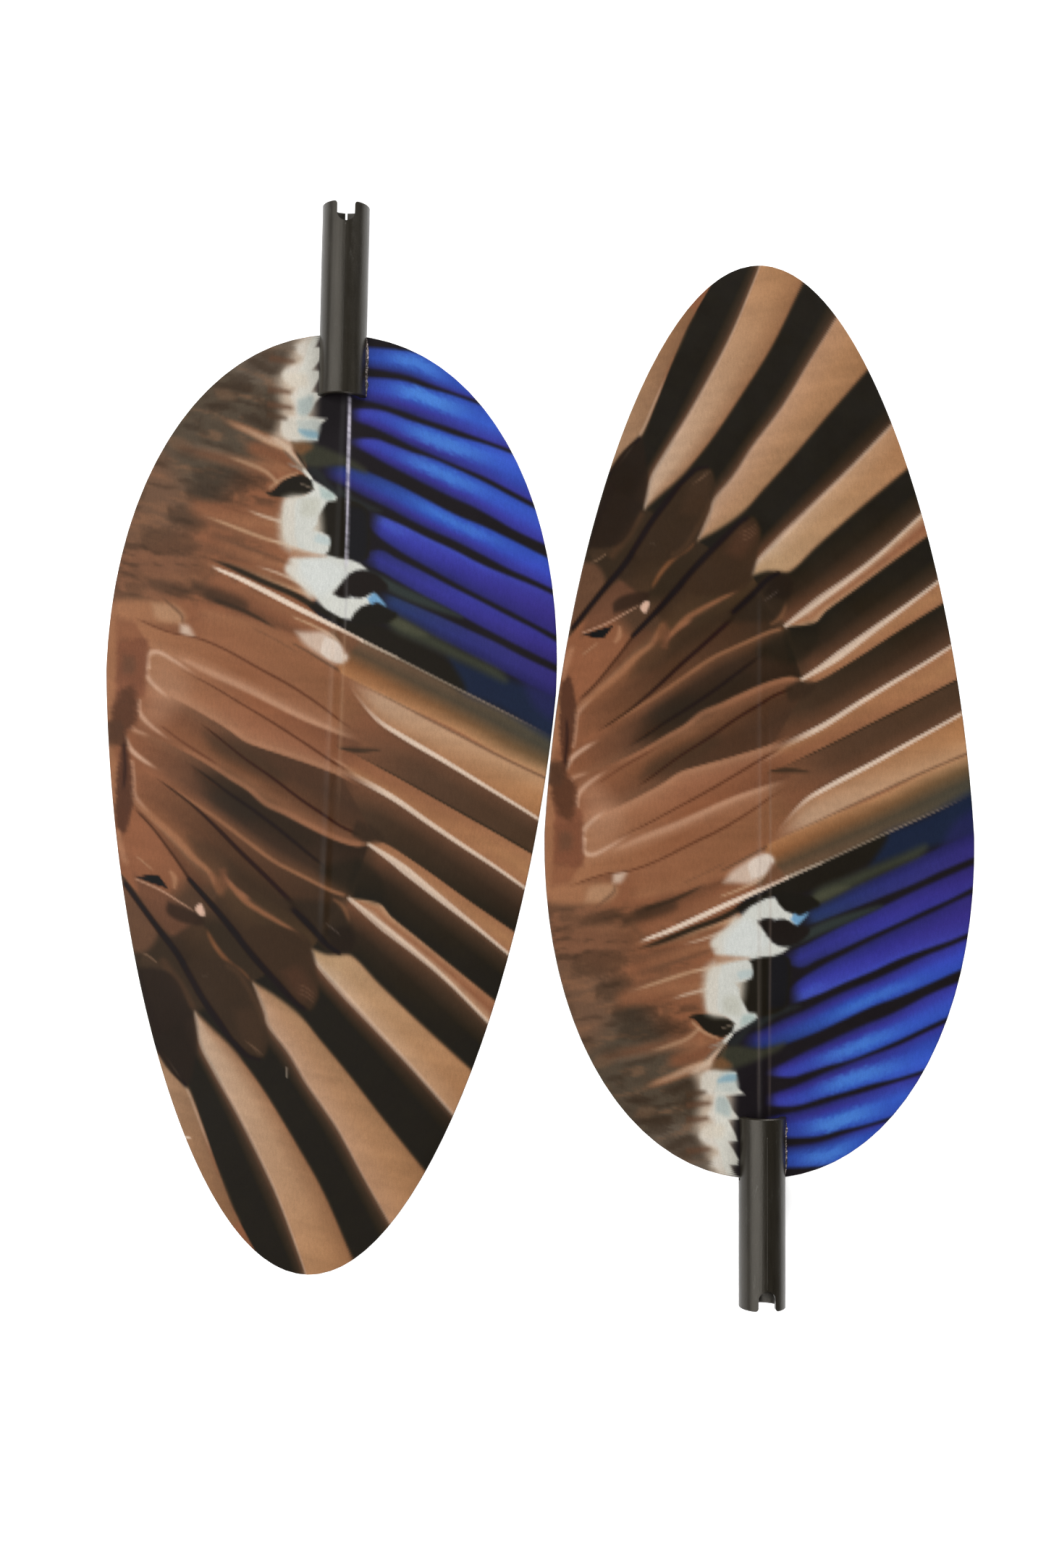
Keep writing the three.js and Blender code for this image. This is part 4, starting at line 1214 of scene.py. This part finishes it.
def ink_colours(places, side):
    """The print's ink at each vertex, with the marks along the rib that this wing shows: on the left wing,
    a painted highlight among them.
    """
    p = feather_print(places[:, 0], places[:, 1])
    # The left wing's print takes a painted rib highlight here.
    rib_glint_and_lines(p, side)
    inks = np.ones((len(places), 4))
    inks[:, :3] = np.maximum(linear(p.colour) - INK_HAZE, DARKEST_INK) * INK_STRENGTH
    return inks


def make_film(side, matrix, points, faces, material):
    """One printed film. The right wing's print is the mirror image of the left's."""
    mirror = 1 if side == "left" else -1
    # Turning y over flips the faces; the right wing's mirroring flips them back.
    if mirror < 0:
        faces = [face[::-1] for face in faces]
    film = link(f"{side}_printed_film", points * (mirror, -1, 1), faces, smooth_shading=True)
    attribute = film.data.color_attributes.new("feather_ink", "FLOAT_COLOR", "POINT")
    attribute.data.foreach_set("color", ink_colours(points, side).astype(np.float32).ravel())
    film.data.transform(matrix)
    film.data.materials.append(material)
    stand_in(film, f"{side}_feather_print", f"{side}_wing")


class Nodes:
    """Shorthand for building a material's nodes. Sources may be sockets or plain values."""

    def __init__(self, name):
        self.material = bpy.data.materials.new(name)
        self.material.use_nodes = True
        self.tree = self.material.node_tree
        self.shader = self.tree.nodes["Principled BSDF"]

    def add(self, kind):
        return self.tree.nodes.new("ShaderNode" + kind)

    def join(self, source, target):
        self.tree.links.new(source, target)

    def place(self, scale=(1, 1, 1), turn=0.0):
        """Object coordinates, stretched and turned."""
        mapping = self.add("Mapping")
        mapping.inputs["Scale"].default_value = scale
        mapping.inputs["Rotation"].default_value = (0, 0, turn)
        self.join(self.add("TexCoord").outputs["Object"], mapping.inputs["Vector"])
        return mapping.outputs["Vector"]

    def noise(self, scale, detail=3.0, roughness=0.5, at=None, distortion=0.0):
        """Noise around a half, with features about 1 / scale metres across."""
        texture = self.add("TexNoise")
        texture.inputs["Scale"].default_value = scale
        texture.inputs["Detail"].default_value = detail
        texture.inputs["Roughness"].default_value = roughness
        texture.inputs["Distortion"].default_value = distortion
        self.join(at or self.place(), texture.inputs["Vector"])
        return texture.outputs["Fac"]

    def spread(self, source, low, high, to_low, to_high):
        """A value moved from one range to another."""
        node = self.add("MapRange")
        names = ("From Min", "From Max", "To Min", "To Max")
        for name, value in zip(names, (low, high, to_low, to_high)):
            node.inputs[name].default_value = value
        self.join(source, node.inputs["Value"])
        return node.outputs["Result"]

    def blend(self, amount, a, b, how="MIX"):
        """Two colours mixed. Each is a socket or a plain colour."""
        node = self.add("Mix")
        node.data_type = "RGBA"
        node.blend_type = how
        for value, socket in zip((a, b), [s for s in node.inputs if s.type == "RGBA"]):
            if isinstance(value, bpy.types.NodeSocket):
                self.join(value, socket)
            else:
                socket.default_value = (*value, 1)
        factor = node.inputs[0]
        if isinstance(amount, bpy.types.NodeSocket):
            self.join(amount, factor)
        else:
            factor.default_value = amount
        return [s for s in node.outputs if s.type == "RGBA"][0]

    def grey(self, value):
        """A value as a grey colour."""
        node = self.add("CombineColor")
        for socket in node.inputs[:3]:
            self.join(value, socket)
        return node.outputs["Color"]

    def bump(self, height, strength, distance):
        node = self.add("Bump")
        node.inputs["Strength"].default_value = strength
        node.inputs["Distance"].default_value = distance
        self.join(height, node.inputs["Height"])
        self.join(node.outputs["Normal"], self.shader.inputs["Normal"])

    def finish(self, colour, roughness, **values):
        """Joins the colour and the roughness to the shader, and sets its other inputs."""
        self.join(colour, self.shader.inputs["Base Color"])
        self.join(roughness, self.shader.inputs["Roughness"])
        for key, value in values.items():
            self.shader.inputs[key.replace("_", " ")].default_value = value
        return self.material


def print_material():
    """The printed film: its inks, with fine barbs that lean across it, speckle and clouds."""
    n = Nodes("feather print film")
    ink = n.add("Attribute")
    ink.attribute_name = "feather_ink"
    colour = ink.outputs["Color"]
    barbs = n.noise(1500, 3, 0.6, n.place((1, 0.3, 1), 0.7))
    speckle = n.noise(3200, 2, 0.6)
    cloud = n.noise(70, 3, 0.6)
    for source, low, high in ((barbs, 0.93, 1.07), (speckle, 0.9, 1.1), (cloud, 0.96, 1.04)):
        shade = n.spread(source, 0.3, 0.7, low, high)
        colour = n.blend(1.0, colour, n.grey(shade), "MULTIPLY")
    n.bump(n.noise(1500, 3, 0.6), 0.1, 0.0001)
    roughness = n.spread(n.noise(60, 4, 0.6), 0.3, 0.7, 0.4, 0.54)
    return n.finish(colour, roughness, Specular_IOR_Level=0.1)


def sheet_material():
    """White-faced aluminium sheet, seen at its cut edge."""
    n = Nodes("blade sheet")
    tone = n.noise(500, 4, 0.6, n.place((1, 1, 6)))
    colour = n.blend(n.spread(tone, 0.3, 0.7, 0, 1), (0.62, 0.61, 0.58), (0.82, 0.81, 0.79))
    n.bump(tone, 0.2, 0.0002)
    roughness = n.spread(n.noise(300, 4), 0.3, 0.7, 0.3, 0.5)
    return n.finish(colour, roughness, Metallic=0.35, Specular_IOR_Level=0.4)


def underside_material():
    """Pale satin film under each wing, with faint scuffs."""
    n = Nodes("pale underside film")
    cloud = n.noise(25, 5, 0.6)
    scuffs = n.noise(160, 5, 0.7, n.place((1, 0.12, 1), 0.3))
    colour = n.blend(n.spread(cloud, 0.3, 0.7, 0, 1), (0.74, 0.72, 0.67), (0.82, 0.81, 0.77))
    colour = n.blend(n.spread(scuffs, 0.62, 0.8, 0, 0.5), colour, (0.5, 0.48, 0.44))
    n.bump(n.noise(900, 3, 0.6), 0.15, 0.0001)
    return n.finish(colour, n.spread(scuffs, 0.3, 0.8, 0.35, 0.6), Specular_IOR_Level=0.4)


def socket_material():
    """Satin black moulded plastic with faint lengthwise drag marks, scratches and scuffs."""
    n = Nodes("black socket plastic")
    drag = n.noise(700, 5, 0.6, n.place((1, 0.06, 1)))
    scuff = n.noise(230, 6, 0.75, n.place((1, 0.35, 1), 0.4))
    scratch = n.noise(420, 3, 0.7, n.place((1, 0.07, 1), -0.25), 1.5)
    dust = n.noise(3000, 2, 0.5)
    dark, light = (0.0085, 0.0068, 0.0042), (0.0155, 0.013, 0.009)
    colour = n.blend(n.spread(drag, 0.3, 0.7, 0, 1), dark, light)
    colour = n.blend(n.spread(scuff, 0.6, 0.78, 0, 0.4), colour, (0.06, 0.057, 0.05))
    colour = n.blend(n.spread(scratch, 0.68, 0.74, 0, 0.4), colour, (0.1, 0.097, 0.088))
    colour = n.blend(n.spread(dust, 0.7, 0.8, 0, 0.4), colour, (0.16, 0.15, 0.14))
    n.bump(n.noise(1500, 3, 0.6), 0.22, 0.0002)
    roughness = n.spread(scuff, 0.3, 0.75, 0.29, 0.4)
    return n.finish(colour, roughness, Specular_IOR_Level=0.4, Specular_Tint=(1, 0.94, 0.84, 1))


def magnet_material():
    """Bright nickel plate, a little rubbed."""
    n = Nodes("nickel magnet")
    rub = n.noise(900, 4, 0.6)
    colour = n.blend(n.spread(rub, 0.35, 0.7, 0, 1), (0.66, 0.65, 0.62), (0.8, 0.8, 0.79))
    n.bump(rub, 0.1, 0.0001)
    return n.finish(colour, n.spread(rub, 0.3, 0.7, 0.14, 0.34), Metallic=1.0)


def glue_material():
    """Set glue: mostly clear over the dark plastic, with cloudy pale lumps whose colour also holds painted
    glints.
    """
    n = Nodes("set glue")
    cloud = n.noise(1100, 5, 0.75)
    # The pale colour is partly cloudy glue and partly painted highlight: glints painted into the glue.
    colour = n.blend(n.spread(cloud, 0.5, 0.62, 0, 1), (0.035, 0.026, 0.02), (0.68, 0.56, 0.52))
    n.bump(n.noise(1600, 4, 0.6), 0.9, 0.0006)
    roughness = n.spread(cloud, 0.3, 0.7, 0.12, 0.35)
    return n.finish(colour, roughness, Specular_IOR_Level=0.5, Coat_Weight=0.25)


def make_socket(side, matrix, material):
    """The socket with its moulded edges rounded, and a fine parting line along its crest."""
    name = f"{side}_socket_moulding"
    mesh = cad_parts[f"{side}_socket"].data.copy()
    mesh.name = name
    socket = show(name, mesh)
    shape = bmesh.new()
    shape.from_mesh(mesh)
    bmesh.ops.remove_doubles(shape, verts=shape.verts, dist=2e-6)
    flat = math.radians(0.5)
    bmesh.ops.dissolve_limit(shape, angle_limit=flat, verts=shape.verts, edges=shape.edges)
    corners = [e for e in shape.edges if len(e.link_faces) == 2 and e.calc_face_angle() > 0.6]
    bmesh.ops.bevel(
        shape, geom=corners, offset=EDGE_ROUND, segments=2, affect="EDGES", clamp_overlap=True
    )
    add_parting_line(shape, matrix)
    for face in shape.faces:
        face.smooth = True
    for edge in shape.edges:
        edge.smooth = len(edge.link_faces) != 2 or edge.calc_face_angle(0) < 0.5
    shape.to_mesh(mesh)
    shape.free()
    mesh.materials.clear()
    mesh.materials.append(material)
    stand_in(socket, f"{side}_socket", f"{side}_wing")


def add_parting_line(shape, matrix):
    """A closed hair-thin ridge along the tube's crest, where the mould's halves met."""
    start, end = INNER_END + 6.5, MOUTH - NOTCH_DEPTH - 0.6
    steps = 60
    rings = []
    for k in range(steps + 1):
        y = start + (end - start) * k / steps
        rise = 0.1 * min(1, 12 * min(k, steps - k) / steps)
        ring = [(-0.2, -0.12), (0.2, -0.12), (0.07, rise), (-0.07, rise)]
        rings.append([shape.verts.new(matrix @ Vector((x, y, SOCKET_RADIUS + z))) for x, z in ring])
    for a, b in zip(rings, rings[1:]):
        for k in range(4):
            shape.faces.new((a[k], a[(k + 1) % 4], b[(k + 1) % 4], b[k]))
    shape.faces.new(rings[0][::-1])
    shape.faces.new(rings[-1])


def bead_points(side, face, seed):
    """Rings of points down one bead of glue, lumpy where it set."""
    along = np.linspace(BEAD_START, BEAD_END, 130)
    low = FILM_FACE + BEAD_GAP
    rings = []
    for k, y in enumerate(along):
        lump = noise(np.array([y / 1.3]), np.array([seed * 3.7]), seed, 3)[0]
        taper = min(1, 5 * min(k + 0.4, len(along) - k - 0.6) / len(along))
        wide = BEAD_SIZE * (0.95 + 0.5 * lump) * taper
        tall = BEAD_SIZE * (0.9 - 0.4 * lump) * taper
        wall = SOCKET_RADIUS + FLARE * smooth(INNER_END + 6, INNER_END, y) + BEAD_GAP
        ring = [(wall - BEAD_ROOT, low)]
        for turn in np.linspace(0, math.pi / 2, 7):
            x = wall + wide * (1 - math.sin(turn)) ** 1.3
            z = low + tall * (1 - math.cos(turn)) ** 1.3
            ring.append((x, z))
        ring.append((wall - BEAD_ROOT, low + tall))
        rings.append([(side * x, y, face * z) for x, z in ring])
    return rings


def make_bead(name, matrix, side, face, seed, material, body, node):
    """One bead of glue: side is +1 or -1 across the blade, face is +1 on top and -1 underneath."""
    rings = bead_points(side, face, seed)
    wide = len(rings[0])
    points = [matrix @ Vector(p) for ring in rings for p in ring]
    faces = [list(range(wide))[::-1], list(range(len(points) - wide, len(points)))]
    for r in range(len(rings) - 1):
        for k in range(wide):
            a, b = r * wide + k, r * wide + (k + 1) % wide
            faces.append([a, b, b + wide, a + wide])
    bead = link(name, points, faces, smooth_shading=True)
    turn_outwards(bead)
    bead.data.materials.append(material)
    stand_in(bead, node, body)


def turn_outwards(thing):
    """Makes every face of a closed mesh look outwards."""
    shape = bmesh.new()
    shape.from_mesh(thing.data)
    bmesh.ops.recalc_face_normals(shape, faces=shape.faces)
    shape.to_mesh(thing.data)
    shape.free()


def make_glue(side, matrix, material):
    """Both beads of one wing: on one side of the socket on top, on the other underneath."""
    across = 1 if side == "left" else -1
    body = f"{side}_wing"
    for place, way, face, seed in (("top", across, 1, 3), ("bottom", -across, -1, 5)):
        name, node = f"{side}_set_glue_{place}", f"{side}_glue_bead_{place}"
        make_bead(name, matrix, way, face, seed, material, body, node)


def finish_cad_nodes():
    """Gives every CAD node that stays a procedural material."""
    makers = {"blade": sheet_material, "underside_film": underside_material, "magnet": magnet_material}
    for part, maker in makers.items():
        material = maker()
        for side in ("left", "right"):
            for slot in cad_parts[f"{side}_{part}"].material_slots:
                slot.material = material


def make_camera():
    """The photo's view: from above the pair, tipped and rolled very slightly."""
    data = bpy.data.cameras.new("photo view")
    data.sensor_width = SENSOR
    data.sensor_fit = "AUTO"
    data.lens = FOCAL_PIXELS * SENSOR / PHOTO_HEIGHT
    data.clip_start = 0.01
    data.dof.use_dof = False
    camera = show("photo view", data)
    tip = Matrix.Rotation(CAMERA_TIP, 4, "X")
    roll = Matrix.Rotation(CAMERA_ROLL, 4, "Y")
    camera.matrix_world = Matrix.Translation(Vector(CAMERA_AT) * MM) @ (tip @ roll).inverted()
    bpy.context.scene.camera = camera


def make_floor():
    """A pale floor that gives off a little light, so that it burns out to the photo's white."""
    size = FLOOR_SIZE / 2
    points = [(-size, -size, 0), (size, -size, 0), (size, size, 0), (-size, size, 0)]
    floor = link("pale floor", points, [[0, 1, 2, 3]])
    n = Nodes("pale floor")
    cloud = n.spread(n.noise(3, 2), 0.3, 0.7, 0, 1)
    colour = n.blend(cloud, (0.86, 0.86, 0.86), (0.88, 0.88, 0.88))
    n.join(colour, n.shader.inputs["Base Color"])
    looks = {
        "Roughness": 0.9,
        "Specular IOR Level": 0.1,
        "Emission Strength": FLOOR_GLOW,
        "Emission Color": (1, 1, 1, 1),
    }
    for name, value in looks.items():
        n.shader.inputs[name].default_value = value
    floor.data.materials.append(n.material)


def soft_light(name, place, size, watts):
    """A soft box that is aimed at the middle of the pair."""
    data = bpy.data.lights.new(name, "AREA")
    data.shape = "RECTANGLE"
    data.size, data.size_y = size
    data.energy = watts
    lamp = show(name, data)
    lamp.location = place
    lamp.rotation_euler = (-Vector(place)).to_track_quat("-Z", "Y").to_euler()


def make_lights():
    """A dim white surrounding and three soft lights, the main one from the left."""
    world = bpy.data.worlds.new("studio")
    world.use_nodes = True
    background = world.node_tree.nodes["Background"]
    background.inputs["Color"].default_value = (1, 1, 1, 1)
    background.inputs["Strength"].default_value = WORLD_STRENGTH
    bpy.context.scene.world = world
    for name, place, size, watts in LIGHTS:
        soft_light(name, place, size, watts)


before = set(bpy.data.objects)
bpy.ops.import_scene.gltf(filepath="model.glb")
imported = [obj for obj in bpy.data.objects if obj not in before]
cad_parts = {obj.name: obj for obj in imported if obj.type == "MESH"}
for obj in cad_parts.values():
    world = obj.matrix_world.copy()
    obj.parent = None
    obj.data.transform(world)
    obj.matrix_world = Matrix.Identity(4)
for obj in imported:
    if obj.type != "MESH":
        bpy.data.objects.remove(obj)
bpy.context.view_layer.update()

bpy.context.scene.view_settings.view_transform = "Standard"
make_camera()
make_floor()
make_lights()
finish_cad_nodes()

film_points, film_faces = film_shape()
film_material = print_material()
plastic = socket_material()
glue = glue_material()
for side, root, turn in (("left", LEFT_ROOT, LEFT_TURN), ("right", RIGHT_ROOT, RIGHT_TURN)):
    make_film(side, wing_matrix(root, turn), film_points, film_faces, film_material)
for side, root, turn in (("left", LEFT_SOCKET, LEFT_SOCKET_TURN), ("right", RIGHT_ROOT, RIGHT_TURN)):
    make_socket(side, wing_matrix(root, turn), plastic)
    make_glue(side, wing_matrix(root, turn), glue)
